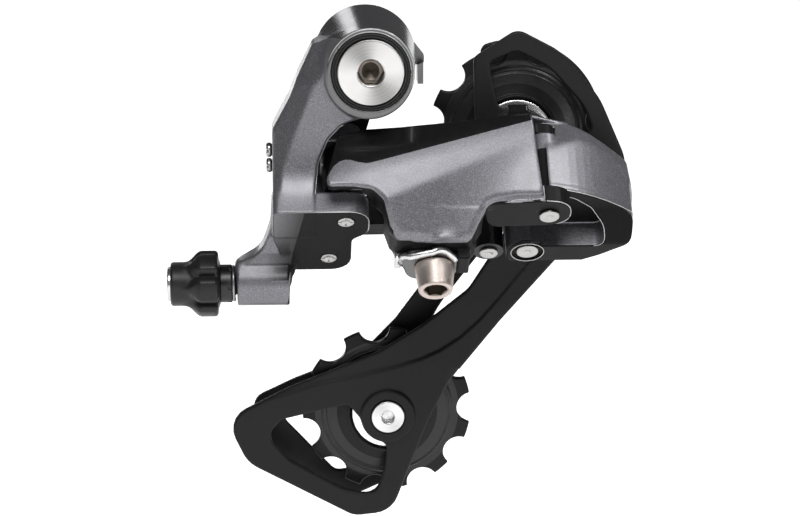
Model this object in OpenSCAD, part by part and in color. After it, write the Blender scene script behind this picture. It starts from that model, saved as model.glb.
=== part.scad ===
// Rear bicycle derailleur: hanger pivot, slanted parallelogram and sprung pulley cage.
// +X points to the front of the bike, +Y inboard towards the wheel and +Z up.
// The origin is on the hanger bolt's axis, where the derailleur meets the hanger.
// The four link pins lie in a slanted frame: z runs along the pins, and y runs inboard and down.

/* [Pulleys] */
// Pitch of the bicycle chain
chain_pitch = 12.7; // [12.6:0.05:12.8]
// Number of teeth on each pulley
pulley_teeth = 11; // [10:1:11]
// Thickness of the teeth
tooth_t = 2.4; // [2.0:0.1:2.8]
// Height of a tooth's flat tip below the pitch circle
tip_drop = 0.3; // [0.2:0.1:0.8]

/* [Hanger pivot] */
// Radius of the hanger thread
thread_r = 5; // [4.9:0.1:5]
// Length of the hanger thread
thread_len = 8; // [6:0.5:10]
// Length of the pivot barrel in front of the stop plate
barrel_len = 22.6; // [21:0.2:23]
// Radius of the barrel at its front ring
barrel_r = 10.65; // [10.4:0.05:11]

/* [Parallelogram] */
// Length of each link between its pins
link_len = 49.6; // [49:0.1:50]
// Radius of the four link pins
pin_r = 2; // [1.8:0.1:2]
// Gap on each side of a link's eye
eye_gap = 0.3; // [0.2:0.1:0.4]

/* [Cage] */
// Distance of the pulleys' middle plane from the hanger face
pulley_y = 12; // [11.5:0.5:12.5]
// Gap between the two cage plates
cage_gap = 9.4; // [9:0.1:9.6]
// Thickness of the outer cage plate
outer_plate_t = 2; // [1.6:0.1:2.2]
// Thickness of the inner cage plate
inner_plate_t = 1.6; // [1.4:0.1:2]

/* [Adjusters] */
// Radius of the cable housing seat
housing_r = 2.6; // [2.5:0.05:2.8]
// Radius of the limit and tension screws
screw_r = 1.5; // [1.3:0.1:1.6]
// Radius of the limit and tension screws' heads
screw_head_r = 1.8; // [1.7:0.05:1.85]

/* [Hidden] */
$fn = 64;
slip = 0.05;
slant_tilt = 45;
arc_steps = 6;
lap = 0.4;

// Slanted frame: pin centres [x, y] and levels along the pins
b1 = [-6.2, 7.2];
pin_step = [-4, 17];
link_step = [link_len, -0.6];
b2 = b1 + pin_step;
p1 = b1 + link_step;
p2 = b2 + link_step;
lug_bottom = -44.5;
lug_top = -36.8;
eye_bottom = lug_top + eye_gap;
outer_eye_top = -24.3;
inner_eye_top = -28;
ear_bottom = -43.5;
ear_top = -38.8;
nose_bottom = ear_top + eye_gap;
nose_top = -21.8;
upper_ear_top = -18.4;
ear_r = 5;

// Hanger pivot
stop_t = 2.2;
barrel_back = -stop_t - 0.2;
barrel_front = barrel_back - barrel_len;
barrel_back_r = 12;
head_front = barrel_front - 1;
shank_r = 5.9;
bush_r = 7;
bush_len = 3.4;
head_r = 8.05;
head_t = 3.1;
seal_depth = 2.2;
spring_room_r = 9.4;
screw_len = 13;

// Cage pivot and pulleys
cage_axis = [54.3, -35.6];
guide_axis = [38.5, -22.5];
tension_axis = [5.4, -96.5];
cage_axle_r = 4.5;
plate_in = pulley_y - cage_gap / 2;
plate_out = plate_in - outer_plate_t;
inner_in = pulley_y + cage_gap / 2;
inner_out = inner_in + inner_plate_t;
drum_back = plate_out - 0.6;
drum_r = 11.8;
clear_y = drum_back - 1.5;
bump_angle = 237;
pin_angle = 251.6;
pitch_r = chain_pitch / (2 * sin(180 / pulley_teeth));
tip_r = pitch_r - tip_drop;
roller_r = 4.05;
sleeve_r = 4.5;
bolt_r = 2.5;
cap_r = 9.3;
cap_t = 0.7;
guide_phase = 24.3;
tension_phase = 16.5;

// Cable side
adjuster_axis = [-12, -55.4];
boss_end = -33;
limit_y = -13;
limit_head_x = -25.6;
limit_z = [-21.2, -25.1];
tension_at = [-2.3, -15];
anchor = [15.2, 13];
anchor_bottom = -52;
bolt_end = -61;
clamp_t = 1.9;
hook_at = [29.8, 24.6];
coil_at = [26, 9];

// ---- Shared shapes ----

// Places children in the slanted frame of the link pins
module slant() rotate([-slant_tilt, 0, 0]) children();

// A rod along Y between two levels, at [x, z]
module rod_y(at, y0, y1, r) {
    translate([at[0], y0, at[1]]) rotate([-90, 0, 0]) cylinder(h = y1 - y0, r = r);
}

// A rod along X between two levels, at [y, z]
module rod_x(at, x0, x1, r) {
    translate([x0, at[0], at[1]]) rotate([0, 90, 0]) cylinder(h = x1 - x0, r = r);
}

// A rod along the slanted pins between two levels, at [x, y]
module rod_pin(at, z0, z1, r) {
    translate([at[0], at[1], z0]) cylinder(h = z1 - z0, r = r);
}

// An outline in X and Z, extruded along Y
module plate_y(y0, y1) {
    translate([0, y1, 0]) rotate([90, 0, 0]) linear_extrude(y1 - y0) children();
}

// An outline in the slanted frame, extruded along the pins
module plate_pin(z0, z1) {
    translate([0, 0, z0]) linear_extrude(z1 - z0) children();
}

// A hexagonal socket along Y that opens towards -Y
module hex_y(at, y0, depth, flats) {
    translate([at[0], y0 - lap, at[1]]) rotate([-90, 30, 0])
        cylinder(h = depth + lap, r = flats / 2 / cos(30), $fn = 6);
}

function unit(v) = v / norm(v);
function angle_of(v) = atan2(v[1], v[0]);
function wrap(a) = a > 180 ? a - 360 : (a < -180 ? a + 360 : a);

// Points of one rounded corner at c, between its neighbours before and after
function corner_arc(before, c, after, r) =
    let (a = unit(before - c), b = unit(after - c), half = acos(a * b) / 2)
    let (centre = c + unit(a + b) * r / sin(half), reach = r / tan(half))
    let (start = angle_of(c + a * reach - centre))
    let (sweep = wrap(angle_of(c + b * reach - centre) - start))
    [for (i = [0:arc_steps])
        centre + r * [cos(start + sweep * i / arc_steps), sin(start + sweep * i / arc_steps)]];

// Closed outline from corners [x, y, radius]
module rounded(corners) {
    n = len(corners);
    flat = [for (c = corners) [c[0], c[1]]];
    polygon([for (i = [0:n - 1])
        each (corners[i][2] == 0 ? [flat[i]]
            : corner_arc(flat[(i + n - 1) % n], flat[i], flat[(i + 1) % n], corners[i][2]))]);
}

// A coil of round wire about Z, as a swept polyhedron
module coil(mid_r, wire_r, turns, pitch) {
    per_turn = 18;
    sides = 8;
    rings = turns * per_turn;
    points = [for (i = [0:rings], k = [0:sides - 1])
        let (a = 360 * i / per_turn, b = 360 * k / sides, r = mid_r + wire_r * cos(b))
        [r * cos(a), r * sin(a), wire_r * sin(b) + pitch * i / per_turn]];
    walls = [for (i = [0:rings - 1], k = [0:sides - 1])
        let (k2 = (k + 1) % sides)
        [i * sides + k, i * sides + k2, (i + 1) * sides + k2, (i + 1) * sides + k]];
    first_cap = [for (k = [sides - 1:-1:0]) k];
    last_cap = [for (k = [0:sides - 1]) rings * sides + k];
    polyhedron(points, concat([first_cap], walls, [last_cap]));
}

// ---- Hanger pivot ----

module hanger_bolt() color("silver") difference() {
    union() {
        rod_y([0, 0], head_front, head_front + head_t, head_r);
        rod_y([0, 0], head_front + head_t - lap, 0, shank_r);
        rod_y([0, 0], -lap, thread_len, thread_r);
        translate([0, thread_len, 0]) rotate([-90, 0, 0])
            cylinder(h = 0.8, r1 = thread_r, r2 = thread_r - 0.8);
    }
    hex_y([0, 0], head_front, 5, 5);
    translate([0, head_front - lap, 0]) rotate([-90, 0, 0])
        cylinder(h = 1 + lap, r1 = 3.9, r2 = 2.5);
    rotate([-90, 0, 0]) translate([0, 0, barrel_back - 1.8])
        difference() {
            cylinder(h = 1.2, r = shank_r + lap);
            cylinder(h = 1.2, r = shank_r - 0.6);
        }
}

module stop_plate() color("dimgray") {
    difference() {
        union() {
            plate_y(-stop_t, 0) circle(11.6);
            plate_y(-stop_t, 0) rounded([[4, 10.6, 0], [8.6, 7.3, 1], [14.2, 0.2, 0.8],
                [14.2, -1.8, 0.6], [8, -3, 0]]);
            plate_y(-6, 0) polygon([[12.4, -1.5], [13.8, -1], [13.8, -6.4], [12.4, -6.4]]);
            plate_y(-stop_t, 0) polygon([[-4, -8], [1, -8], [-1.6, -17], [-4, -17]]);
            plate_y(-4.6, 0) polygon([[-4, -12.6], [-2.4, -12.6], [-2.4, -17], [-4, -17]]);
        }
        rod_y([0, 0], -stop_t - lap, lap, shank_r + 0.1);
    }
}

module axle_clip() color("dimgray") difference() {
    plate_y(barrel_back - 1.7, barrel_back - 0.7) difference() {
        circle(bush_r + 0.8);
        circle(shank_r - 0.5);
        polygon([[-3, 0], [3, 0], [3, 12], [-3, 12]]);
    }
}

module b_knuckle_body() color("slategray") difference() {
    union() {
        translate([0, barrel_front, 0]) rotate([-90, 0, 0]) cylinder(h = barrel_len, r1 = barrel_r,
            r2 = barrel_back_r);
        knuckle_arm();
        slant() knuckle_lugs();
        rod_x(adjuster_axis, boss_end, -20, 5.6);
        rod_x(tension_at, -15, -11, 2.3);
        plate_y(-10, -2.4) rounded([[-15, -19, 0], [-11, -17.4, 0], [-9, -8, 0], [-15, -8, 0]]);
    }
    rod_y([0, 0], barrel_front - lap, barrel_front + seal_depth, 9.5);
    rod_y([0, 0], barrel_front - lap, barrel_back + lap, shank_r + 0.3);
    rod_y([0, 0], barrel_front + 2.8, barrel_front + 2.8 + bush_len, bush_r);
    rod_y([0, 0], barrel_front + 6, barrel_back - 6, spring_room_r);
    rod_y([0, 0], barrel_back - 5.4, barrel_back - 5.4 + bush_len, bush_r);
    rod_y([0, 0], barrel_back - 2, barrel_back + lap, 8.2);
    slant() for (at = [b1, b2]) rod_pin(at, lug_bottom - lap, upper_ear_top + 9, pin_r);
    rod_x(adjuster_axis, boss_end - lap, -20 + lap, 3.1);
    rod_x(tension_at, -26, -10, screw_r + slip);
    for (z = limit_z) rod_x([limit_y, z], -25, -13, screw_r + slip);
}

// The arm from the barrel down to the cable adjuster's boss
module knuckle_arm() {
    plate_y(-21.5, -6) rounded([[-8, 8, 0], [-13.2, 5, 2], [-19.2, -8.4, 8], [-23.9, -17.6, 2],
        [-23.9, -39, 0], [-16.6, -39, 0], [-13.2, -30, 6], [-12.2, -22, 8], [-6.5, -14.2, 6],
        [0, -11, 0]]);
    plate_y(-18, -6.4) rounded([[-23.9, -36, 0], [-24.4, -40, 6], [-27, -46.5, 6], [boss_end, -50.2, 2],
        [boss_end, -56, 0], [-20, -56, 0], [-16.6, -46, 3], [-16.6, -36, 0]]);
}

// The ears that hold the rear pins of both links, in the slanted frame
module knuckle_lugs() {
    plate_pin(lug_bottom, lug_top) rounded([[-23.9, 1.2, 2], [-0.6, 1.2, 5.2], [-0.6, 13, 5.2],
        [-4.6, 15.5, 3], [-4.6, 30, 5], [-20, 30, 3], [-23.9, 16, 3]]);
    plate_pin(outer_eye_top + eye_gap, upper_ear_top) rounded([[-22, 3, 2], [-1.2, 2, 5],
        [-1.2, 12.4, 5], [-14, 13.5, 3], [-22, 13.5, 2]]);
    plate_pin(inner_eye_top + eye_gap, inner_eye_top + 5) rounded([[-20, 14, 0], [-14, 14, 3],
        [-5.4, 19, 4.6], [-5.4, 29, 4.6], [-15, 29, 4.6], [-20, 18, 2]]);
    plate_pin(lug_top - lap, inner_eye_top + 5) rounded([[-22, 12, 2], [-16, 12, 0], [-16, 24, 2],
        [-22, 22, 2]]);
}

module b_bushings() color("darkgoldenrod") {
    for (y = [barrel_front + 2.8, barrel_back - 5.4])
        plate_y(y, y + bush_len) difference() {
            circle(bush_r);
            circle(shank_r + slip);
        }
}

module b_spring() color("gray") {
    translate([0, barrel_front + 7.2, 0]) rotate([-90, 0, 0]) coil(7.9, 0.9, 4, 2.0);
}

module front_seal() color("black") {
    plate_y(barrel_front - 0.5, barrel_front + seal_depth) difference() {
        circle(9.45);
        circle(head_r + 0.2);
    }
}

module outer_link_rear_pin() color("silver") {
    slant() rod_pin(b1, lug_bottom + 0.2, upper_ear_top - 0.2, pin_r);
}

module inner_link_rear_pin() color("silver") {
    slant() rod_pin(b2, lug_bottom + 0.2, inner_eye_top + 4.8, pin_r);
}

// ---- Cable adjuster and adjusting screws ----

module adjuster_stem() color("dimgray") difference() {
    union() {
        rod_x(adjuster_axis, -44, -24, 3);
        rod_x(adjuster_axis, -37.2, -34.6, 4.4);
    }
    rod_x(adjuster_axis, -44 - lap, -24 + lap, 1);
}

module adjuster_knob() color("black") difference() {
    union() {
        rod_x(adjuster_axis, -49.6, -37.4, 6.4);
        translate([-46.8, adjuster_axis[0], adjuster_axis[1]]) rotate([0, 90, 0])
            linear_extrude(8.6) for (i = [0:5]) rotate(60 * i)
                polygon([[0, -2.6], [7.8, -1.6], [8.3, 0], [7.8, 1.6], [0, 2.6]]);
    }
    rod_x(adjuster_axis, -50, -44, 4.35);
    rod_x(adjuster_axis, -44 - lap, -37, 3);
}

module adjuster_ferrule() color("silver") difference() {
    rod_x(adjuster_axis, -50.4, -44, 4.35);
    rod_x(adjuster_axis, -50.4 - lap, -45, housing_r);
    rod_x(adjuster_axis, -46, -43, 1);
}

module adjuster_spring() color("gray") {
    translate([-34.2, adjuster_axis[0], adjuster_axis[1]]) rotate([0, 90, 0])
        coil(4.1, 0.35, 1, 0.55);
}

// A small cross-head screw along X, with its head at x0 facing -X
module small_screw(at, x0, length) difference() {
    union() {
        rod_x(at, x0, x0 + 1.6, screw_head_r);
        rod_x(at, x0 + 1.6 - lap, x0 + length, screw_r);
    }
    for (turn = [0, 90])
        translate([x0 - lap, at[0], at[1]]) rotate([turn, 0, 0])
            translate([0, -1.2, -0.3]) cube([0.8 + lap, 2.4, 0.6]);
}

module b_tension_screw() color("dimgray") small_screw(tension_at, -4.05 - screw_len, screw_len);

module high_limit_screw() color("silver") small_screw([limit_y, limit_z[0]], limit_head_x, 10);

module low_limit_screw() color("silver") small_screw([limit_y, limit_z[1]], limit_head_x, 10);

// ---- Parallelogram ----

module outer_link_body() color("slategray") slant() difference() {
    union() {
        hull() link_skin();
        hull() link_core();
        hull() cable_boss();
        rod_pin(b1, eye_bottom, outer_eye_top, 5.2);
        plate_pin(eye_bottom, outer_eye_top) polygon([[-6, -0.8], [4, -1], [4, 3], [-2, 7],
            [-9, 7], [-9, 4]]);
        for (level = [[ear_bottom, ear_top], [nose_top + eye_gap, upper_ear_top]])
            plate_pin(level[0], level[1]) {
                translate(p1) circle(ear_r);
                polygon([[34, -4.6], [38.6, -4.6], [43.8, 2], [43, 11.5], [34, 3]]);
            }
        rod_pin(coil_at, eye_bottom, outer_eye_top, 2.2);
        plate_pin(outer_eye_top - 1.8, outer_eye_top) polygon([[24.4, 2], [27.6, 2], [27.6, 9],
            [24.4, 9]]);
    }
    rod_pin(b1, ear_bottom - lap, outer_eye_top + lap, pin_r + slip);
    rod_pin(p1, ear_bottom - lap, upper_ear_top + lap, pin_r);
    rod_pin(anchor, anchor_bottom - lap, anchor_bottom + 6, bolt_r);
}

// A small ball that rounds a corner of a hull
module knob_at(at, r) translate(at) sphere(r = r, $fn = 16);

// Skin of the outer link: a flat top facet and a face that slopes down to the cable boss
module link_skin() {
    for (at = [[-5, -4.4, -26.6], [-8.6, -4.4, -35.4], [41, -5, -19.6], [41, -4.6, -26],
        [41, -2.6, -42.4], [-6, -0.4, -35.2], [38, -2.4, -19.6], [34, -0.8, -42.2],
        [-6, -0.4, -25.6]])
        knob_at(at, 1);
}

// Thicker middle of the outer link, clear of both pivots
module link_core() {
    for (at = [[2, -4, -25.6], [33, -4, -22.2], [2, 3, -25.6], [33, 3, -22.2],
        [6, -1, -43], [28, -1, -42], [6, 3, -41], [28, 3, -40]])
        knob_at(at, 1);
}

// Boss that carries the cable clamp
module cable_boss() {
    rod_pin([12.6, 11], anchor_bottom, -45.4, 7.2);
    rod_pin([17.8, 9.8], anchor_bottom, -45.4, 7.2);
    for (at = [[7, 1, -43], [25, 0, -41]]) knob_at(at, 1);
}

module cable_bolt() color("tan") slant() difference() {
    union() {
        rod_pin(anchor, bolt_end, anchor_bottom - clamp_t, 4.5);
        rod_pin(anchor, anchor_bottom - clamp_t - lap, anchor_bottom + 6, bolt_r);
    }
    translate([anchor[0], anchor[1], bolt_end - lap])
        cylinder(h = 3.6 + lap, r = 2.5 / cos(30), $fn = 6);
}

module cable_clamp_plate() color("gainsboro") slant() difference() {
    plate_pin(anchor_bottom - clamp_t, anchor_bottom) rounded([[6.6, 8.4, 3], [17, 6.4, 4],
        [21.6, 11, 4], [20, 19, 4], [9, 19, 4]]);
    rod_pin(anchor, anchor_bottom - clamp_t - lap, anchor_bottom + lap, bolt_r);
    translate([5, 6.9, anchor_bottom + 0.1]) rotate([0, 90, 0]) cylinder(h = 20, r = 0.7);
}

module return_spring() color("gray") {
    slant() translate([coil_at[0], coil_at[1], eye_bottom + 1.2]) coil(3.4, 0.6, 6, 1.4);
}

module outer_link_front_pin() color("silver") {
    slant() {
        rod_pin(p1, ear_bottom + 0.2, upper_ear_top - 0.2, pin_r);
        rod_pin(p1, ear_bottom - 0.8, ear_bottom, 2.5);
        rod_pin(p1, ear_bottom - lap, ear_bottom + lap, pin_r);
    }
}

module inner_link_body() color("dimgray") slant() difference() {
    union() {
        rod_pin(b2, eye_bottom, inner_eye_top, 4.2);
        rod_pin(p2, eye_bottom, inner_eye_top, 4.2);
        plate_pin(eye_bottom, inner_eye_top) polygon([b2 - [0, 2.5], p2 - [0, 2.5],
            p2 + [0, 2.5], b2 + [0, 2.5]]);
        rod_pin(hook_at, -43, eye_bottom + lap, 3.8);
    }
    for (at = [b2, p2]) rod_pin(at, eye_bottom - lap, inner_eye_top + lap, pin_r + slip);
    rod_pin(hook_at, -43 - lap, -38, 1.6);
}

module spring_hook_pin() color("silver") slant() {
    rod_pin(hook_at, -43, -38, 1.6);
    rod_pin(hook_at, -43.8, -43, 2.3);
}

module inner_link_front_pin() color("silver") slant() {
    rod_pin(p2, -43.2, -22.2, pin_r);
    rod_pin(p2, -44, -43.2, 2.8);
}

// ---- Lower knuckle ----

// Outline of the lower knuckle in the slanted frame
module knuckle_outline() rounded([[43.6, 2.2, 1], [52, 5.2, 8], [60, 10.2, 8], [65.2, 14.6, 4],
    [65.4, 22, 6], [57.4, 30, 12], [46.4, 35.6, 3], [46.4, 12.6, 2], [43, 11, 0]]);

module p_knuckle_body() color("slategray") difference() {
    union() {
        intersection() {
            slant() {
                plate_pin(nose_bottom, upper_ear_top) knuckle_outline();
                plate_pin(lug_bottom + 0.5, lug_top) rounded([[34.2, 18.6, 5], [44.6, 18.2, 5],
                    [54, 20.6, 3], [61.5, 18, 1], [57.6, 23.6, 4], [44.7, 32.6, 6], [34.2, 29, 5]]);
                plate_pin(inner_eye_top + eye_gap, -22) rounded([[34.6, 18.8, 4.7], [48, 18.8, 0],
                    [48, 28.4, 0], [34.6, 28.4, 4.7]]);
            }
            translate([30, -60, -80]) cube([40, 60 + clear_y, 80]);
        }
        slant() rod_pin(p1, nose_bottom, nose_top, 4.8);
        rod_y(cage_axis, -10, drum_back, drum_r);
        rod_y(stop_at(bump_angle), 0, drum_back - 0.4, 1.8);
    }
    slant() rod_pin(p1, nose_bottom - lap, nose_top + lap, pin_r + slip);
    slant() rod_pin(p1, nose_top, upper_ear_top + lap, ear_r + 0.4);
    slant() rod_pin(p2, -47, -20, pin_r);
    slant() rod_pin(p2, -47, -43.2, 4);
    slant() translate([p2[0], p2[1], lug_top]) cylinder(h = inner_eye_top + eye_gap - lug_top, r = 5);
    rod_y(cage_axis, -11, drum_back + lap, cage_axle_r + slip);
    rod_y(cage_axis, -9.4, -6, cage_axle_r + 1.1);
    rod_y(cage_axis, -6 - lap, drum_back + lap, spring_room_r - 0.4);
}

// A point [x, z] on the circle that the cage's stop pin follows
function stop_at(angle) = cage_axis + 13.9 * [cos(angle), sin(angle)];

module p_bushing() color("darkgoldenrod") plate_y(-9.4, -6.2) translate(cage_axis) difference() {
    circle(cage_axle_r + 1.1);
    circle(cage_axle_r + slip);
}

module p_spring() color("gray") {
    translate([cage_axis[0], -4.8, cage_axis[1]]) rotate([-90, 0, 0]) coil(6.9, 0.8, 4, 1.75);
}

module p_cover() color("black") plate_y(drum_back - 1, drum_back) translate(cage_axis) difference() {
    circle(spring_room_r - 0.4);
    circle(cage_axle_r + 0.3);
}

// ---- Cage ----

module p_axle() color("silver") difference() {
    union() {
        rod_y(cage_axis, -9.6, plate_in, cage_axle_r);
        rod_y(cage_axis, drum_back + 0.1, plate_out, 7);
    }
    translate([cage_axis[0], plate_in - 3, cage_axis[1]]) rotate([-90, 0, 0])
        cylinder(h = 3 + lap, r = 2.5 / cos(30), $fn = 6);
}

// Outline of the outer cage plate
module outer_plate_outline() rounded([[27.2, -2, 2.5], [38.4, 5.2, 4], [49.4, -0.6, 14],
    [59.6, -12.6, 18], [66.4, -28, 12], [66.8, -40, 10], [55, -48, 14], [34.6, -71.2, 0],
    [21.6, -87.4, 12], [16.2, -97.6, 20], [6.4, -123.2, 7], [-3.6, -124.2, 6], [-31.4, -109, 6],
    [-37, -97, 5], [-20, -88.4, 0], [3, -79.2, 16], [14.4, -72.2, 14], [26.4, -62.6, 8],
    [37, -46, 10], [30.4, -30, 12], [27.6, -17, 12]]);

// The large window ahead of the tension pulley
module tail_window() rounded([[-26.4, -101.6, 3.4], [-22.4, -97.2, 3], [-5, -93.2, 2.4],
    [-2, -97, 2], [0.6, -101.8, 7], [5.2, -104.6, 2], [4.8, -110, 8], [2.2, -118.8, 4],
    [-6, -116.8, 8], [-20.4, -108.4, 8]]);

// The window that shows the guide pulley
module guide_window() rounded([[31.2, -3.4, 1.6], [38.2, -0.2, 3], [46.6, -4.6, 14],
    [55.4, -14.6, 14], [57.8, -20.6, 2], [53.6, -24.4, 3], [46.2, -18.2, 4],
    [40, -14.6, 6], [33.6, -15, 2]]);

module cage_outer_plate() color("black") difference() {
    union() {
        plate_y(plate_out, plate_in) difference() {
            outer_plate_outline();
            tail_window();
            guide_window();
        }
        for (at = [guide_axis, tension_axis]) rod_y(at, plate_out - 0.9, plate_in, 6.8);
    }
    for (at = [guide_axis, tension_axis]) {
        rod_y(at, plate_out - 1 - lap, plate_in + lap, bolt_r);
        rod_y(at, plate_out - 1 - lap, plate_out + 0.6, 4.5);
    }
    rod_y(cage_axis, plate_out - lap, plate_in + lap, cage_axle_r);
    rod_y(stop_at(pin_angle), plate_out - lap, plate_in + lap, 1.6);
}

// Outline of the inner cage plate
module inner_plate_outline() rounded([[30.4, -14.6, 7], [44.6, -14.6, 8], [47.4, -29, 8],
    [40.6, -42, 12], [30, -56, 30], [18.4, -71.2, 30], [14.6, -82, 10], [15.8, -98, 12],
    [9.8, -116.6, 7], [-4, -121.4, 7], [-17, -113.6, 6], [-26.4, -104.4, 4], [-29.4, -95, 4],
    [-19, -89.6, 6], [-1, -82.6, 10], [7.8, -73.6, 10], [20, -57, 30], [29.2, -42, 14],
    [30, -28, 8]]);

module inner_window() rounded([[-23.2, -99, 3], [-17.4, -95.4, 3], [-4.4, -91.6, 3],
    [-3, -97, 3], [0.6, -102.4, 6], [4, -106, 3], [2.2, -113.4, 4], [-8, -115.6, 3]]);

module cage_inner_plate() color("black") difference() {
    plate_y(inner_in, inner_out) difference() {
        inner_plate_outline();
        inner_window();
    }
    for (at = [guide_axis, tension_axis]) rod_y(at, inner_in - lap, inner_out + lap, bolt_r);
}

module cage_stop_pin() color("silver") rod_y(stop_at(pin_angle), clear_y + 0.1, plate_in, 1.6);

// A pulley bolt: its head lies in the outer plate and its thread in the inner plate
module pulley_bolt(at) color("silver") difference() {
    union() {
        rod_y(at, plate_out - 1.3, plate_out + 0.6, 4.3);
        rod_y(at, plate_out, inner_out, bolt_r);
    }
    hex_y(at, plate_out - 1.3, 1.6, 3);
}

module guide_bolt() pulley_bolt(guide_axis);

module tension_bolt() pulley_bolt(tension_axis);

// The steel sleeve that a pulley turns on
module pulley_sleeve(at) color("lightgray") difference() {
    rod_y(at, plate_in, inner_in, sleeve_r);
    rod_y(at, plate_in - lap, inner_in + lap, bolt_r);
}

module guide_sleeve() pulley_sleeve(guide_axis);

module tension_sleeve() pulley_sleeve(tension_axis);

// The two thin caps that cover a pulley's hub
module dust_caps(at) color("silver") {
    for (y = [plate_in + 0.05, inner_in - 0.05 - cap_t]) difference() {
        rod_y(at, y, y + cap_t, cap_r);
        rod_y(at, y - lap, y + cap_t + lap, sleeve_r);
    }
}

module guide_dust_caps() dust_caps(guide_axis);

module tension_dust_caps() dust_caps(tension_axis);

// ---- Pulleys ----

// A toothed pulley: the chain's rollers cut its gaps
module toothed_pulley(at, phase) color("black") {
    hub_half = cage_gap / 2 - cap_t - 0.25;
    translate([at[0], pulley_y, at[1]]) rotate([90, 0, 0]) rotate(phase) difference() {
        union() {
            difference() {
                cylinder(h = tooth_t, r = tip_r, center = true);
                for (i = [0:pulley_teeth - 1]) rotate((i + 0.5) * 360 / pulley_teeth)
                    translate([pitch_r, 0, 0]) cylinder(h = tooth_t + 1, r = roller_r, center = true);
            }
            cylinder(h = tooth_t + 1.4, r = 16.8, center = true);
            cylinder(h = 2 * hub_half, r = 8.6, center = true);
        }
        cylinder(h = 20, r = sleeve_r + slip, center = true);
        for (side = [-1, 1]) translate([0, 0, side * (tooth_t / 2 + 0.7)]) difference() {
            cylinder(h = 1.2, r = 15, center = true);
            cylinder(h = 2, r = 10.4, center = true);
        }
    }
}

module guide_pulley() toothed_pulley(guide_axis, guide_phase);

module tension_pulley() toothed_pulley(tension_axis, tension_phase);

// ---- What is drawn ----

hanger_bolt();
stop_plate();
axle_clip();
b_knuckle_body();
b_bushings();
b_spring();
front_seal();
outer_link_rear_pin();
inner_link_rear_pin();
adjuster_stem();
adjuster_knob();
adjuster_ferrule();
adjuster_spring();
b_tension_screw();
high_limit_screw();
low_limit_screw();
outer_link_body();
cable_bolt();
cable_clamp_plate();
return_spring();
outer_link_front_pin();
inner_link_body();
spring_hook_pin();
inner_link_front_pin();
p_knuckle_body();
p_bushing();
p_spring();
p_cover();
p_axle();
cage_outer_plate();
cage_inner_plate();
cage_stop_pin();
guide_bolt();
tension_bolt();
guide_sleeve();
tension_sleeve();
guide_dust_caps();
tension_dust_caps();
guide_pulley();
tension_pulley();
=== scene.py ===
"""Looks of a rear bicycle derailleur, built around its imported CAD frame.

Castings, plates, pulleys and bolts are grown from signed distances in millimetres:
a field function says how far a point lies outside its piece, and grow() meshes where
that distance is zero. Every piece lies in the CAD frame, so nothing is fitted.
"""
import math

import bmesh
import bpy
import numpy as np
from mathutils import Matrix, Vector


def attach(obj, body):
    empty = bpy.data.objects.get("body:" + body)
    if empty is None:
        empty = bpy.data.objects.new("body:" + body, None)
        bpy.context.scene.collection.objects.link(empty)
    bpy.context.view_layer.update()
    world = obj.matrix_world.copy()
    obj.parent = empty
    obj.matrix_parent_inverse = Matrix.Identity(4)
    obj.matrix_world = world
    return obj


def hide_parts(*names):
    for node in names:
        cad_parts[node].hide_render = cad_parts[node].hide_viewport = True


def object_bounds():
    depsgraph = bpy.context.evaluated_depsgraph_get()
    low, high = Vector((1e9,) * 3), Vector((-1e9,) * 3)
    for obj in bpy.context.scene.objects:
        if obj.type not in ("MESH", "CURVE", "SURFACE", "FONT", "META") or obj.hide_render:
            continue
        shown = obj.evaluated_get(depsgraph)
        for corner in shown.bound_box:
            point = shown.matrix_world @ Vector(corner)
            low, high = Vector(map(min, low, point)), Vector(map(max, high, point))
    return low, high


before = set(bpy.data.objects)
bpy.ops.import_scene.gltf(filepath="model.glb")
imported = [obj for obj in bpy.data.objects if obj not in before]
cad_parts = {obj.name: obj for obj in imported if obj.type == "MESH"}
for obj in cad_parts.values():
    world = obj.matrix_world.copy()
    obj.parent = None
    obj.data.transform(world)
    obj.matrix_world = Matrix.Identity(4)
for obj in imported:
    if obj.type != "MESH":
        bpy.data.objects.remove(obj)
cad_lo, cad_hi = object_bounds()

MM = 0.001
HALF = math.sqrt(0.5)
COARSE = 1.0

# ---- Places shared with the CAD model, in millimetres ----

B1, B2 = np.array([-6.2, 7.2]), np.array([-10.2, 24.2])
LINK = np.array([49.6, -0.6])
P1, P2 = B1 + LINK, B2 + LINK
CAGE_AXIS = (54.3, -35.6)
PULLEY_Y = 12.0
GUIDE_AXIS = (38.5, -22.5)
TENSION_AXIS = (5.4, -96.5)
PULLEY_AXES = {"guide": GUIDE_AXIS, "tension": TENSION_AXIS}
PLATE_OUT, PLATE_IN = 5.3, 7.3
INNER_IN, INNER_OUT = 16.7, 18.3
BARREL_FRONT, BARREL_BACK = -25.0, -2.4
ADJUSTER = (-12.0, -55.4)
ANCHOR = (15.2, 13.0)


# ---- Signed distances ----

def slanted(p):
    """A point in the frame of the four link pins: u forwards, v inboard and down, w along them."""
    x, y, z = p
    return x, (y - z) * HALF, (y + z) * HALF


def span(v, low, high):
    """Distance outside the stretch from low to high."""
    return np.abs(v - (low + high) / 2) - (high - low) / 2


def both(a, b, edge=0.0):
    """Inside both a and b, with the edge between them rounded to a radius."""
    qa, qb = a + edge, b + edge
    outside = np.hypot(np.maximum(qa, 0), np.maximum(qb, 0))
    return np.minimum(np.maximum(qa, qb), 0) + outside - edge


def join(a, b, blend):
    """Inside a or b, with a fillet of about the blend's size between them."""
    h = np.maximum(blend - np.abs(a - b), 0) / blend
    return np.minimum(a, b) - h * h * blend / 4


def cut(a, b, blend=0.01):
    """Inside a and outside b."""
    return -join(-a, b, blend)


def meet(a, b, blend):
    """Inside a and b, with a soft edge between them."""
    return -join(-a, -b, blend)


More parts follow.
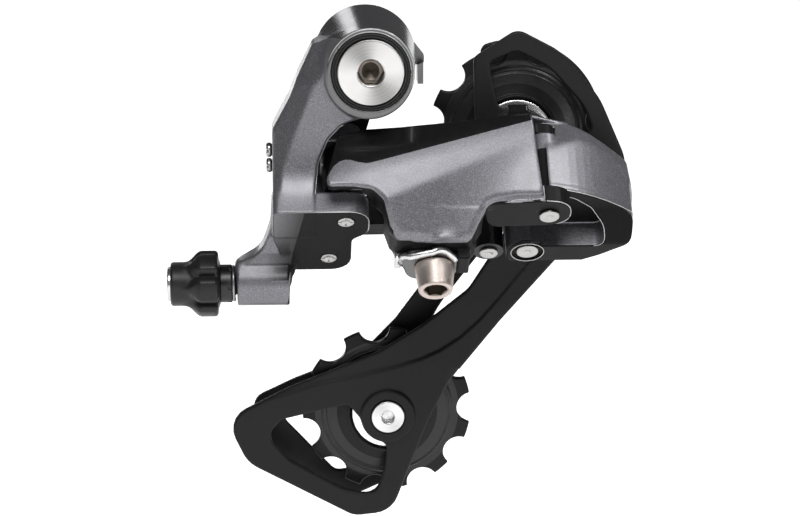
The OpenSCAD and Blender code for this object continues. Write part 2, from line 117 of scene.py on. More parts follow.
def away(u, v, at):
    """Distance from the axis at a place in the u, v plane."""
    return np.hypot(u - at[0], v - at[1])


def rod(u, v, w, at, low, high, r, edge=0.0):
    """A rod along w, centred on at in the u, v plane."""
    return both(away(u, v, at) - r, span(w, low, high), edge)


def slab(a, b, c, outline, low, high, edge=0.0):
    """An outline in the a, b plane that reaches from low to high along c."""
    return both(outline_distance(a, b, outline), span(c, low, high), edge)


def tooth_wave(x):
    """Falls from 1 to 0 and rises again over each whole step of x: a thread's profile."""
    return np.abs(x % 1.0 - 0.5) * 2


def hexagon(u, v, at, flats):
    """Distance to a hexagonal prism with this size across its flats."""
    du, dv = u - at[0], v - at[1]
    turns = [math.radians(60 * i) for i in range(3)]
    return np.max([np.abs(du * math.sin(t) + dv * math.cos(t)) for t in turns], axis=0) - flats / 2


def outline_distance(u, v, corners):
    """Signed distance to a closed outline, negative inside."""
    best = np.full(u.shape, 1e9, np.float32)
    inside = np.zeros(u.shape, bool)
    for (ax, ay), (bx, by) in zip(corners, np.roll(corners, -1, axis=0)):
        ex, ey = bx - ax, by - ay
        wx, wy = u - ax, v - ay
        t = np.clip((wx * ex + wy * ey) / (ex * ex + ey * ey), 0, 1)
        best = np.minimum(best, (wx - ex * t) ** 2 + (wy - ey * t) ** 2)
        inside ^= ((ay > v) != (by > v)) & (wx < ex * wy / (ey if ey else 1e-9))
    return np.sqrt(best) * np.where(inside, -1, 1)


def rounded(corners, steps=5):
    """Points of an outline from its corners [u, v, radius]."""
    points = []
    for i, (cx, cy, r) in enumerate(corners):
        c = np.array([cx, cy], float)
        if r == 0:
            points.append(c)
            continue
        a = np.array(corners[i - 1][:2]) - c
        b = np.array(corners[(i + 1) % len(corners)][:2]) - c
        a, b = a / np.linalg.norm(a), b / np.linalg.norm(b)
        half = math.acos(np.clip(a @ b, -1, 1)) / 2
        centre = c + (a + b) / np.linalg.norm(a + b) * r / math.sin(half)
        reach = r / math.tan(half)
        first = math.atan2(*(c + a * reach - centre)[::-1])
        sweep = math.atan2(*(c + b * reach - centre)[::-1]) - first
        sweep = (sweep + math.pi) % (2 * math.pi) - math.pi
        for k in range(steps + 1):
            angle = first + sweep * k / steps
            points.append(centre + r * np.array([math.cos(angle), math.sin(angle)]))
    return np.array(points)


def line_distance(u, v, points):
    """Signed distance to an open line of points: positive on its right-hand side."""
    best = np.full(u.shape, 1e9, np.float32)
    side = np.ones(u.shape, np.float32)
    for (ax, ay), (bx, by) in zip(points[:-1], points[1:]):
        ex, ey = bx - ax, by - ay
        wx, wy = u - ax, v - ay
        t = np.clip((wx * ex + wy * ey) / (ex * ex + ey * ey), 0, 1)
        d = (wx - ex * t) ** 2 + (wy - ey * t) ** 2
        nearer = d < best
        side = np.where(nearer, np.sign(wx * ey - wy * ex), side)
        best = np.where(nearer, d, best)
    return np.sqrt(best) * side


# ---- Meshing ----

CORNERS = np.array([[i, j, k] for i in (0, 1) for j in (0, 1) for k in (0, 1)])
CELL_EDGES = [(a, b) for a in range(8) for b in range(a + 1, 8)
              if np.abs(CORNERS[a] - CORNERS[b]).sum() == 1]


def surface_net(values):
    """Points and quads of a grid's zero surface, in cells: one point in each cell it crosses."""
    inside = values < 0
    size = np.array(values.shape) - 1
    corner_views = [inside[i:i + size[0], j:j + size[1], k:k + size[2]] for i, j, k in CORNERS]
    count = np.sum(corner_views, axis=0, dtype=np.uint8)
    cells = np.argwhere((count > 0) & (count < 8))
    index = np.full(count.shape, -1, np.int32)
    index[tuple(cells.T)] = np.arange(len(cells))
    at_corner = np.stack([values[tuple((cells + c).T)] for c in CORNERS], 1)
    total = np.zeros((len(cells), 3))
    hits = np.zeros(len(cells))
    for a, b in CELL_EDGES:
        va, vb = at_corner[:, a], at_corner[:, b]
        crossed = (va < 0) != (vb < 0)
        t = np.where(crossed, va / np.where(crossed, va - vb, 1), 0)
        total += np.where(crossed[:, None], CORNERS[a] + t[:, None] * (CORNERS[b] - CORNERS[a]), 0)
        hits += crossed
    quads = []
    for axis in range(3):
        step = np.eye(3, dtype=int)
        low = np.take(inside, range(size[axis]), axis)
        high = np.take(inside, range(1, size[axis] + 1), axis)
        nodes = np.argwhere(low != high)
        u, v = step[(axis + 1) % 3], step[(axis + 2) % 3]
        fits = ((nodes @ u > 0) & (nodes @ v > 0) & (nodes @ u < size @ u) & (nodes @ v < size @ v))
        nodes = nodes[fits]
        ring = np.stack([index[tuple((nodes - s).T)] for s in (0 * u, u, u + v, v)], 1)
        outward = low[tuple(nodes.T)]
        quads.append(np.where(outward[:, None], ring, ring[:, ::-1]))
    return cells + total / hits[:, None], np.concatenate(quads)


def grow(name, field, low, high, step):
    """A mesh object of the surface where field is zero, inside a box given in millimetres."""
    step = step * COARSE
    block = 4
    low = np.array(low, float) - 2 * step
    blocks = np.ceil((np.array(high) + 2 * step - low) / (step * block)).astype(int)
    centres = low + (np.indices(blocks).reshape(3, -1).T + 0.5) * block * step
    coarse = field(tuple(centres.astype(np.float32).T)).reshape(blocks)
    near = np.abs(coarse) < block * step * 1.2 + step
    values, active = coarse, near
    for axis in range(3):
        values = np.repeat(values, block, axis)
        active = np.repeat(active, block, axis)
    values = np.pad(values, (0, 1), mode="edge").astype(np.float32)
    active = np.pad(active, (0, 1), mode="edge")
    nodes = np.argwhere(active)
    values[active] = field(tuple((low + nodes * step).astype(np.float32).T))
    cells, quads = surface_net(values)
    points = low + cells * step
    for _ in range(2):
        points -= to_surface(field, points, step * 0.7)
    return mesh_object(name, points, quads)


def to_surface(field, points, limit):
    """The step that takes each point to the surface along the field's slope."""
    reach = 0.02
    here = field(tuple(points.T))
    slope = np.stack([field(tuple((points + reach * axis).T)) - here for axis in np.eye(3)], 1)
    slope /= reach
    move = here[:, None] * slope / np.maximum((slope ** 2).sum(1), 0.2)[:, None]
    length = np.linalg.norm(move, axis=1)[:, None]
    return move * np.minimum(1, limit / np.maximum(length, 1e-9))


def mesh_object(name, points, faces):
    """A smooth-shaded mesh object from points in millimetres and faces of one size."""
    mesh = bpy.data.meshes.new(name)
    sides = faces.shape[1]
    mesh.vertices.add(len(points))
    mesh.vertices.foreach_set("co", (points * MM).astype(np.float32).ravel())
    mesh.loops.add(len(faces) * sides)
    mesh.loops.foreach_set("vertex_index", faces.astype(np.int32).ravel())
    mesh.polygons.add(len(faces))
    mesh.polygons.foreach_set("loop_start", np.arange(0, len(faces) * sides, sides, dtype=np.int32))
    mesh.update(calc_edges=True)
    mesh.validate()
    mesh.shade_smooth()
    piece = bpy.data.objects.new(name, mesh)
    bpy.context.scene.collection.objects.link(piece)
    return piece


def paint(piece, base, *coats):
    """Gives the mesh a base material and coats of (material, region), each laid where its
    region, a function of x, y and z in mm, is negative.  Faces are split along the border."""
    work = bmesh.new()
    work.from_mesh(piece.data)
    piece.data.materials.append(base)
    for index, (material, region) in enumerate(coats, 1):
        piece.data.materials.append(material)
        work.verts.index_update()
        values = region(*(np.array([v.co[:] for v in work.verts]).T / MM))
        middle = []
        for edge in list(work.edges):
            start, end = (values[v.index] for v in edge.verts)
            if (start < 0) != (end < 0):
                share = min(0.95, max(0.05, start / (start - end)))
                middle.append((edge, share))
        split = [bmesh.utils.edge_split(edge, edge.verts[0], share)[1] for edge, share in middle]
        bmesh.ops.connect_verts(work, verts=split)
        work.faces.ensure_lookup_table()
        centres = np.array([f.calc_center_median()[:] for f in work.faces]).T / MM
        for number in np.nonzero(region(*centres) < 0)[0]:
            work.faces[number].material_index = index
    work.to_mesh(piece.data)
    work.free()


def unit(vectors):
    """The vectors, each brought to length one."""
    return vectors / np.linalg.norm(vectors, axis=1)[:, None]


def tube(name, points, r, sides=8, closed=False):
    """A round bead or wire along points in millimetres."""
    ahead = np.roll(points, -1, 0) - points
    behind = points - np.roll(points, 1, 0)
    if not closed:
        ahead[-1], behind[0] = behind[-1], ahead[0]
    along = unit(unit(ahead) + unit(behind))
    side = unit(np.cross(along, np.array([0.31, -0.62, 0.72])))
    other = np.cross(along, side)
    angle = 2 * math.pi * np.arange(sides) / sides
    cosine, sine = np.cos(angle)[None, :, None], np.sin(angle)[None, :, None]
    ring = side[:, None] * cosine + other[:, None] * sine
    verts = (points[:, None] + r * ring).reshape(-1, 3)
    count = len(points)
    steps = np.arange(count if closed else count - 1)
    k = np.arange(sides)
    faces = [np.stack([i * sides + k, i * sides + (k + 1) % sides,
                       (i + 1) % count * sides + (k + 1) % sides, (i + 1) % count * sides + k], 1)
             for i in steps]
    piece = mesh_object(name, verts, np.concatenate(faces))
    work = bmesh.new()
    work.from_mesh(piece.data)
    bmesh.ops.holes_fill(work, edges=[e for e in work.edges if e.is_boundary])
    bmesh.ops.recalc_face_normals(work, faces=work.faces)
    work.to_mesh(piece.data)
    work.free()
    return piece


def ring_points(at, r, level, to_world, count=96):
    """Points of a circle at a level of a local frame, which to_world places."""
    turn = 2 * math.pi * np.arange(count) / count
    across = at[0] + r * np.cos(turn), at[1] + r * np.sin(turn)
    return to_world(np.stack([*across, np.full(count, level)], 1))


def from_slanted(q):
    """World points of points given in the frame of the link pins."""
    return np.stack([q[:, 0], (q[:, 1] + q[:, 2]) * HALF, (q[:, 2] - q[:, 1]) * HALF], 1)


def from_front(q):
    """Points given as x, z and depth."""
    return np.stack([q[:, 0], q[:, 2], q[:, 1]], 1)


def run(outline, first, last):
    """The part of a closed outline from the corner nearest first to the one nearest last."""
    ends = [int(np.argmin(np.hypot(*(outline - end).T))) for end in (first, last)]
    count = (ends[1] - ends[0]) % len(outline) + 1
    return outline[(ends[0] + np.arange(count)) % len(outline)]


def at_level(outline, level):
    """World points of an outline across the link pins, at a level along them."""
    return from_slanted(np.column_stack([outline, np.full(len(outline), level)]))


def place(piece, body, slot, *nodes):
    """Rides a piece on its body, in place of its CAD nodes if it names any."""
    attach(piece, body)
    if nodes:
        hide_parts(*nodes)


def highlight_bead(name, points, r, body, closed=False):
    """Painted highlight: a fine bright bead along a casting's corner, standing in for the light its
    edge catches.
    """
    piece = tube(name, points, r, 8, closed)
    paint(piece, EDGE_HIGHLIGHT_METAL)
    place(piece, body, "graphite_paint")


def make(name, field, box, step, coats, body, slot, node):
    """Grows a piece inside its box, paints it and puts it in place of its CAD node."""
    piece = grow(name, field, *box, step)
    paint(piece, *coats)
    place(piece, body, slot, node)


def world_box(low, high):
    """World box round a box given in the slanted frame."""
    corners = [(u, (v + w) * HALF, (w - v) * HALF) for u in (low[0], high[0])
               for v in (low[1], high[1]) for w in (low[2], high[2])]
    return np.min(corners, 0), np.max(corners, 0)


def box_round(at, reach, low, high):
    """A box along Y round an axis through at = (x, z)."""
    return (at[0] - reach, low, at[1] - reach), (at[0] + reach, high, at[1] + reach)


def softened(node, body, slot, material, width=0.25):
    """The CAD node's own shape with its edges broken, as a machined piece has them."""
    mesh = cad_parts[node].data.copy()
    mesh.materials.clear()
    work = bmesh.new()
    work.from_mesh(mesh)
    bmesh.ops.remove_doubles(work, verts=work.verts, dist=1e-6)
    bmesh.ops.dissolve_limit(work, angle_limit=math.radians(1), verts=work.verts, edges=work.edges)
    work.to_mesh(mesh)
    work.free()
    piece = bpy.data.objects.new(node + "_finished", mesh)
    bpy.context.scene.collection.objects.link(piece)
    bevel = piece.modifiers.new("broken_edges", "BEVEL")
    bevel.width = width * MM
    bevel.segments = 2
    bevel.limit_method = "ANGLE"
    bevel.angle_limit = math.radians(32)
    mesh.shade_smooth()
    smooth = piece.modifiers.new("weighted", "WEIGHTED_NORMAL")
    smooth.keep_sharp = True
    paint(piece, material)
    place(piece, body, slot, node)


# ---- Materials ----

def new_material(name, color, metallic, roughness, coat=0.0, coat_roughness=0.08):
    material = bpy.data.materials.new(name)
    material.use_nodes = True
    shader = material.node_tree.nodes["Principled BSDF"]
    settings = {"Base Color": (*color, 1), "Metallic": metallic, "Roughness": roughness,
                "Coat Weight": coat, "Coat Roughness": coat_roughness}
    for key, value in settings.items():
        shader.inputs[key].default_value = value
    return material, shader


def link(material, source, target):
    material.node_tree.links.new(source, target)


def add(material, kind, output, inputs, **settings):
    """Adds a node with these inputs, which are values or other nodes' sockets."""
    node = material.node_tree.nodes.new("ShaderNode" + kind)
    for key, value in settings.items():
        setattr(node, key, value)
    for key, value in inputs.items():
        if isinstance(value, bpy.types.NodeSocket):
            link(material, value, node.inputs[key])
        else:
            node.inputs[key].default_value = value
    return node.outputs[output]


def object_place(material):
    return add(material, "TexCoord", "Object", {})


def axes(material):
    """Sockets of the three object coordinates."""
    node = add(material, "SeparateXYZ", "X", {"Vector": object_place(material)}).node
    return node.outputs


def noise(material, scale, detail=2.0, roughness=0.5, source=None):
    """Noise whose features are about 1/scale metres across."""
    return add(material, "TexNoise", "Fac", {
        "Scale": scale, "Detail": detail, "Roughness": roughness,
        "Vector": source or object_place(material)})


def spread(material, source, low, high, start=0.3, end=0.7):
    """Maps a texture's middle range to a range of values."""
    return add(material, "MapRange", "Result", {
        "From Min": start, "From Max": end, "To Min": low, "To Max": high, "Value": source})


def shades(material, source, *stops):
    """A colour ramp through (position, colour) stops."""
    color = add(material, "ValToRGB", "Color", {"Fac": source})
    ramp = color.node.color_ramp
    while len(ramp.elements) < len(stops):
        ramp.elements.new(0.5)
    for element, (position, shade) in zip(ramp.elements, stops):
        element.position = position
        element.color = (*shade, 1)
    return color


def bump(material, shader, height, strength, distance):
    normal = add(material, "Bump", "Normal", {
        "Strength": strength, "Distance": distance, "Height": height})
    link(material, normal, shader.inputs["Normal"])


def math_node(material, operation, a, b=0.0):
    return add(material, "Math", "Value", {0: a, 1: b}, operation=operation)


def gloss(material, shader, fine, fine_range, broad, broad_range):
    """Roughness that varies with a fine and a broad texture."""
    total = math_node(material, "ADD", spread(material, fine, *fine_range),
                      spread(material, broad, *broad_range))
    link(material, total, shader.inputs["Roughness"])


def grey(level, warmth=0.0):
    return (level * (1 + warmth), level, level * (1 - warmth))


def dimmed(color, share):
    return tuple(c * share for c in color)


def cool(level):
    return (level * 1.01, level, level * 1.09)


def metallic_paint(name, level, roughness, metallic=0.75):
    """Satin grey paint with metal flakes: a fine speckle in colour and gloss under a clear coat."""
    material, shader = new_material(name, cool(level), metallic, roughness, 0.3, 0.2)
    flakes = noise(material, 3600, 1.0, 0.4)
    clouds = noise(material, 260, 3.0, 0.5)
    speckle = shades(material, flakes, (0.28, cool(level * 0.72)), (0.52, cool(level)),
                     (0.74, cool(level * 1.5)))
    link(material, speckle, shader.inputs["Base Color"])
    gloss(material, shader, flakes, (-0.06, 0.07), clouds, (roughness - 0.03, roughness + 0.03))
    bump(material, shader, noise(material, 1500, 2.0), 0.1, 0.00004)
    return material


def shade_fading_paint(name, level, roughness, metallic, start, end, slope):
    """The same paint darkening to black along x + slope (y - z), from start to end in metres: a
    painted shade.
    """
    material = metallic_paint(name, level, roughness, metallic)
    base = material.node_tree.nodes["Principled BSDF"].inputs["Base Color"]
    x, y, z = axes(material)
    lift = math_node(material, "MULTIPLY", math_node(material, "SUBTRACT", y, z), slope)
    fade = spread(material, math_node(material, "ADD", x, lift), 0.85, 0.05, start, end)
    shaded_color = add(material, "VectorMath", "Vector", {0: base.links[0].from_socket, "Scale": fade},
                operation="SCALE")
    link(material, shaded_color, base)
    return material


def gloss_black(name):
    material, shader = new_material(name, grey(0.006), 0.0, 0.22, 0.25, 0.06)
    shader.inputs["Specular IOR Level"].default_value = 0.3
    haze = noise(material, 700, 3.0)
    link(material, spread(material, haze, 0.2, 0.25), shader.inputs["Roughness"])
    bump(material, shader, haze, 0.04, 0.00003)
    return material


def moulded_plastic(name, level, roughness, grain=2600, depth=0.25, sheen=0.2):
    """Fibre-filled black plastic with a fine moulded grain and slight flow marks."""
    material, shader = new_material(name, grey(level), 0.0, roughness)
    shader.inputs["Specular IOR Level"].default_value = sheen
    fine = noise(material, grain, 2.0, 0.6)
    flow = noise(material, 90, 4.0, 0.55)
    color = shades(material, flow, (0.3, grey(level * 0.8)), (0.7, grey(level * 1.25)))
    link(material, color, shader.inputs["Base Color"])
    gloss(material, shader, fine, (-0.05, 0.05), flow, (roughness - 0.05, roughness + 0.05))
    bump(material, shader, fine, depth, 0.00005)
    return material


def rubber(name):
    material, shader = new_material(name, grey(0.009), 0.0, 0.62)
    bump(material, shader, noise(material, 3000, 3.0), 0.3, 0.00004)
    return material


def turned_metal(name, color, roughness, axis, ring=9000.0, depth=0.1, sweep=0.0):
    """Metal faced on a lathe: fine rings round an axis that runs along Y through axis = (x, z),
    with light and dark sectors round that axis laid into its colour as a painted reflection.
    """
    material, shader = new_material(name, color, 1.0, roughness)
    x, _, z = axes(material)
    dx = math_node(material, "SUBTRACT", x, axis[0] * MM)
    dz = math_node(material, "SUBTRACT", z, axis[1] * MM)
    squares = math_node(material, "ADD", math_node(material, "MULTIPLY", dx, dx),
                        math_node(material, "MULTIPLY", dz, dz))
    radius = math_node(material, "SQRT", squares)
    outward = add(material, "CombineXYZ", "Vector", {"X": radius})
    rings = noise(material, ring, 3.0, 0.6, outward)
    link(material, spread(material, rings, roughness * 0.75, roughness * 1.35),
         shader.inputs["Roughness"])
    # Painted reflection: the colour is lightened and darkened in two sectors each round the axis,
    # as strongly as sweep says.
    streak_turn = math_node(material, "SUBTRACT", math_node(material, "ARCTAN2", dz, dx), 2.0)
    sheen = math_node(material, "COSINE", math_node(material, "MULTIPLY", streak_turn, 2.0))
    mixed = math_node(material, "ADD", math_node(material, "MULTIPLY", rings, 0.5),
                      math_node(material, "MULTIPLY", sheen, -0.25 * sweep))
    tone = shades(material, math_node(material, "ADD", mixed, 0.25),
                  (0.22, dimmed(color, 0.45)), (0.45, dimmed(color, 0.95)),
                  (0.72, tuple(min(1, c * 1.2) for c in color)))
    link(material, tone, shader.inputs["Base Color"])
    bump(material, shader, rings, depth, 0.00002)
    shader.inputs["Anisotropic"].default_value = 0.72
    tangent = add(material, "Tangent", "Tangent", {}, direction_type="RADIAL", axis="Y")
    link(material, tangent, shader.inputs["Tangent"])
    return material


def plated_metal(name, color, roughness, mottle=420.0, depth=0.08):
    """Plated steel with soft mottling and faint rolling marks."""
    material, shader = new_material(name, color, 1.0, roughness)
    marks = noise(material, mottle, 4.0, 0.6)
    fine = noise(material, 5200, 2.0, 0.5)
    tone = shades(material, marks, (0.3, dimmed(color, 0.82)), (0.7, color))
    link(material, tone, shader.inputs["Base Color"])
    gloss(material, shader, fine, (-0.03, 0.04), marks, (roughness * 0.8, roughness * 1.3))
    bump(material, shader, fine, depth, 0.00003)
    return material


PAINT = metallic_paint("graphite_paint", 0.2, 0.46, 0.6)
GLOSS_PAINT = metallic_paint("graphite_lacquer", 0.12, 0.17)
# Painted shade: the graphite paint darkening to black towards the right of the lug's side.
SHADED_FLANK_PAINT = shade_fading_paint("graphite_paint_painted_shade", 0.2, 0.5, 0.6, -0.0225, -0.0165, 0.106)
# Painted shade: a near-black coat for undersides, pockets, recesses and gaps where shade falls.
SHADE_COAT = moulded_plastic("painted_shade_black", 0.012, 0.44, 2400, 0.12, 0.09)
WORN_PAINT = plated_metal("worn_paint_edge", grey(0.17), 0.4, 2600, 0.2)
BLACK_FACE = gloss_black("black_top_face")
PLATE_PLASTIC = moulded_plastic("cage_plastic", 0.016, 0.46)
PULLEY_PLASTIC = moulded_plastic("pulley_plastic", 0.01, 0.36, 1900, 0.2, 0.2)
STIPPLED_PLASTIC = moulded_plastic("stippled_plastic", 0.016, 0.36, 1100, 1.0, 0.4)
KNOB_PLASTIC = moulded_plastic("knob_plastic", 0.013, 0.4, 3200, 0.2, 0.35)
SEAL_RUBBER = rubber("seal_rubber")
# Painted highlight: bright metal for the beads along casting edges.
EDGE_HIGHLIGHT_METAL = plated_metal("painted_edge_highlight", grey(0.52), 0.34)
# The last number of each turned metal sets how strongly its painted reflection streaks show.
HEAD_METAL = turned_metal("turned_head", grey(0.54, 0.012), 0.34, (0, 0), 5200, 0.16, 1.0)
STEEL = plated_metal("bright_steel", grey(0.42, 0.01), 0.3)
ZINC = plated_metal("zinc_plate", grey(0.62), 0.26, 900)
NICKEL = plated_metal("warm_nickel", (0.56, 0.49, 0.45), 0.46, 1900)
DARK_STEEL = plated_metal("black_oxide_steel", grey(0.045), 0.38)
GREY_STEEL = plated_metal("grey_steel", grey(0.14), 0.32)
SOCKET_METAL = plated_metal("socket_shade", (0.2, 0.175, 0.15), 0.4, 900)
SPRING_STEEL = plated_metal("spring_steel", grey(0.3), 0.32)
BRONZE = plated_metal("sintered_bronze", (0.45, 0.3, 0.13), 0.42, 900, 0.3)
CAP_METAL = {key: turned_metal(key + "_cap_metal", grey(0.8), 0.26, at, 1800, 0.02, 0.3)
             for key, at in PULLEY_AXES.items()}
BOLT_METAL = {key: turned_metal(key + "_bolt_metal", grey(0.62), 0.3, at, 5200, 0.1, 0.4)
              for key, at in PULLEY_AXES.items()}


# ---- Upper knuckle, hanger bolt and adjusting screws ----

ARM = rounded([[-6, 8, 0], [-13.7, 5.2, 2], [-17.6, -2.5, 4], [-19.6, -7.6, 6], [-23.9, -15.6, 3],
               [-23.9, -41.5, 0], [-13.6, -41.5, 0], [-13.6, -29.6, 1.0], [-12.8, -22.6, 8],
               [-10.4, -16.9, 5], [-7.2, -13.6, 5], [0, -11, 0]])
ARM_FOOT = rounded([[-23.9, -34, 0], [-24.4, -39.4, 6], [-27, -46.5, 7], [-33, -50, 2],
                    [-33, -56, 0], [-20, -56, 0], [-16.6, -46, 3], [-16.6, -34, 0]])
LUG = rounded([[-23.9, 2.7, 1.4], [-0.6, 2.7, 4.6], [-0.6, 13, 5.2], [-4.6, 15.5, 3],
               [-4.6, 30, 5], [-20, 30, 3], [-23.9, 16, 3]])
TOP_LUG = rounded([[-22, 3, 2], [-1.2, 2, 5], [-1.2, 12.4, 5], [-14, 13.5, 3], [-22, 13.5, 2]])
INNER_LUG = rounded([[-20, 14, 0], [-14, 14, 3], [-5.4, 19, 4.6], [-5.4, 29, 4.6],
                     [-15, 29, 4.6], [-20, 18, 2]])
LUG_WALL = rounded([[-22, 12, 2], [-16, 12, 0], [-10.9, 13.8, 1], [-10.9, 16.8, 1], [-16, 18.4, 1],
                    [-16, 24, 2], [-22, 22, 2]])
WEB = np.array([[-15, -30], [-11.9, -30], [-11.9, -21], [-10.4, -17], [-8.5, -8], [-15, -8]])
CHIN_WEB = np.array([[-11, -18.4], [-8.6, -9], [0.6, -9], [0.9, -12.4], [-0.6, -17.4], [-3, -19]])
LUG_FACE = -44.5
LIMIT_Y, LIMIT_Z = -13.0, (-21.2, -25.1)
TENSION_AT = (-2.3, -15.0)
ARM_CREASE = np.array([[-36, -23.3], [-30.7, -22.7], [-22.8, -21.1], [-14.6, -18.3], [-9, -16],
                       [-3.8, -13.9], [-0.2, -10.9], [6, -5]])


def arm_front(x, z):
    """Front of the arm: it leans forward to the lug below, and falls away left of its crease."""
    drop = -26.3 - z
    lean = (drop + np.sqrt(drop ** 2 + 30)) / 2
    left = np.interp(z, ARM_CREASE[:, 0], ARM_CREASE[:, 1]) - x
    return -21.5 - lean + (left + np.sqrt(left ** 2 + 0.3)) * 0.52


def knuckle_field(p):
    x, y, z = p
    u, v, w = slanted(p)
    depth = y - BARREL_FRONT
    barrel = both(np.hypot(x + 0.028 * depth, z - 0.022 * depth) - 10.65 - depth * 0.09,
                  span(y, BARREL_FRONT, BARREL_BACK), 0.45)
    chin = rod(x, z, y, (-0.4, -1.3), BARREL_FRONT, -18, 10.3, 0.5)
    barrel = join(barrel, chin, 1.0)
    arm = both(both(outline_distance(x, z, ARM), (arm_front(x, z) - y) * 0.68, 0.7), y + 6, 0.4)
    arm = both(arm, LUG_FACE - w, 0.3)
    foot_front = -18 + 3.5 * np.clip((-41 - z) / 9, 0, 1)
    foot = both(outline_distance(x, z, ARM_FOOT), np.maximum(foot_front - y, y + 6.4), 1.2)
    lug = slab(u, v, w, LUG, LUG_FACE, -38.6, 0.35)
    top = slab(u, v, w, TOP_LUG, -24, -18.4, 0.6)
    inner = slab(u, v, w, INNER_LUG, -27.7, -23, 0.6)
    wall = slab(u, v, w, LUG_WALL, -38, -23, 0.6)
    boss = rod(y, z, x, ADJUSTER, -33, -20, 5.6, 0.5)
    peg = rod(y, z, x, TENSION_AT, -15, -11, 2.3, 0.3)
    web = slab(x, z, y, WEB, -10, -2.4, 0.4)
    # This web closes the gap under the barrel's chin; the shade coat is painted on it.
    chin_web = slab(x, z, y, CHIN_WEB, -10, -4.8, 0.3)
    body = join(barrel, arm, 1.6)
    body = join(body, join(foot, boss, 2.4), 1.6)
    body = join(join(body, lug, 0.5), join(top, join(inner, wall, 0.8), 0.8), 0.8)
    body = join(join(body, join(peg, web, 1.0), 0.8), chin_web, 0.3)
    body = cut(body, rod(x, z, y, (0, 0), BARREL_FRONT - 2, -22.8, 9.55), 0.15)
    body = cut(body, rod(x, z, y, (0, 0), BARREL_FRONT - 2, 1, 6.2))
    body = cut(body, rod(x, z, y, (0, 0), -4.4, 1, 8.2))
    body = cut(body, rod(y, z, x, ADJUSTER, -36, -17, 3.1), 0.3)
    body = cut(body, rod(y, z, x, TENSION_AT, -26, -10, 1.55))
    for at, high in ((B1, -18.4), (B2, -23)):
        body = cut(body, rod(u, v, w, at, -60, high + 9, 2.02))
    for z0 in LIMIT_Z:
        body = cut(body, rod(y, z, x, (LIMIT_Y, z0), -30, -13, 1.55), 0.2)
    return body


def upper_knuckle():
    def barrel_side(x, y, z):
        on_barrel = both(np.hypot(x, z) - 14.4, span(y, -24.6, 1))
        return both(on_barrel, 0.4 - outline_distance(x, z, ARM))

    def barrel_face(x, y, z):
        return both(both(np.hypot(x + 0.2, z + 0.6) - 10.9, 9.0 - np.hypot(x, z)), y + 24.75)

    # Painted shade: the lug's underside right of its flank, and the web under the barrel's chin,
    # get the near-black shade coat.
    def under(x, y, z):
        u, v, w = slanted((x, y, z))
        border = -17.2 - 0.15 * (v - 8.7)
        below = both(both(w + 44.25, border - x), 1.0 - v)
        chin = both(both(span(x, -11, 1.5), span(z, -19.4, -11.2)), span(y, -10.6, -4.4))
        return np.minimum(below, chin)

    # Painted shade: the lug's side below the arm, grey at its left and darkening to black towards
    # the right.
    def shaded_flank(x, y, z):
        u, v, w = slanted((x, y, z))
        return both(w + 44.25, both(1.0 - v, v - 25.6))
    make("upper_knuckle_casting", knuckle_field, ((-34, -32, -62), (14.5, 2, 14.5)), 0.34,
         (PAINT, (GLOSS_PAINT, barrel_side), (WORN_PAINT, barrel_face), (SHADED_FLANK_PAINT, shaded_flank),
          (SHADE_COAT, under)), "b_knuckle", "graphite_paint", "b_knuckle_body")
    # Painted highlights along the barrel's rims, the arm's inner edge and the lug's edge.
    for side, r, front, bead in (("outer", 10.42, -24.86, 0.2), ("inner", 9.72, -25.0, 0.13)):
        highlight_bead("barrel_" + side + "_edge", ring_points((0, 0), r, front, from_front), bead,
                    "b_knuckle", True)
    inner = run(ARM, (-13.6, -29.6), (-6.6, -13.4))
    depths = arm_front(inner[:, 0], inner[:, 1]) + 0.22
    highlight_bead("arm_edge", from_front(np.column_stack([inner, depths])), 0.1, "b_knuckle")
    highlight_bead("lug_edge", at_level(run(LUG, (-22.4, 2.7), (-0.6, 12)), -44.4), 0.13, "b_knuckle")


def bolt_head_field(p):
    x, y, z = p
    head = rod(x, z, y, (0, 0), -26, -22.9, 8.05, 0.35)
    shank = rod(x, z, y, (0, 0), -23.5, 0, 5.9, 0.2)
    groove = 0.55 * tooth_wave(y - np.arctan2(z, x) / (2 * math.pi))
    thread = both((np.hypot(x, z) - 5.0 + groove * (y > 0.6)) * 0.75, span(y, -0.5, 8.0), 0.1)
    thread = both(thread, (np.hypot(x, z) + y - 12.6) * HALF)
    body = np.minimum(np.minimum(head, shank), thread)
    body = cut(body, both(hexagon(x, z, (0, 0), 5.6), span(y, -30, -23.2)))
    mouth = (np.hypot(x, z) - 3.5 + (y + 26) * 1.3) * 0.61
    body = cut(body, both(mouth, span(y, -30, -24.6)), 0.05)
    tip = (np.hypot(x, z) + (y + 23.2) * 1.2 - 2.2) * 0.64
    body = cut(body, both(tip, span(y, -23.5, -20)), 0.05)
    clip_groove = both(5.3 - np.hypot(x, z), span(y, -4.2, -3.0))
    return cut(body, clip_groove)


def seal_field(p):
    x, y, z = p
    ring = both(np.abs(np.hypot(x, z) - 8.85) - 0.6, span(y, -25.45, -22.8), 0.3)
    return cut(ring, both(np.abs(np.hypot(x, z) - 8.9) - 0.12, span(y, -27, -25.15)), 0.1)


def hanger_pivot():
    def socket(x, y, z):
        return both(np.hypot(x, z) - 3.42, span(y, -25.75, -20))
    make("turned_hanger_bolt", bolt_head_field, box_round((0, 0), 8.2, -26.2, 9), 0.17,
         (HEAD_METAL, (SOCKET_METAL, socket)), "mount", "turned_steel", "hanger_bolt")
    make("lipped_front_seal", seal_field, box_round((0, 0), 9.6, -26, -22.6), 0.2,
         (SEAL_RUBBER,), "b_knuckle", "black_rubber", "front_seal")
    softened("stop_plate", "mount", "dark_steel", GREY_STEEL, 0.3)
    softened("axle_clip", "mount", "dark_steel", SPRING_STEEL, 0.1)
    softened("b_bushings", "b_knuckle", "bronze", BRONZE, 0.2)


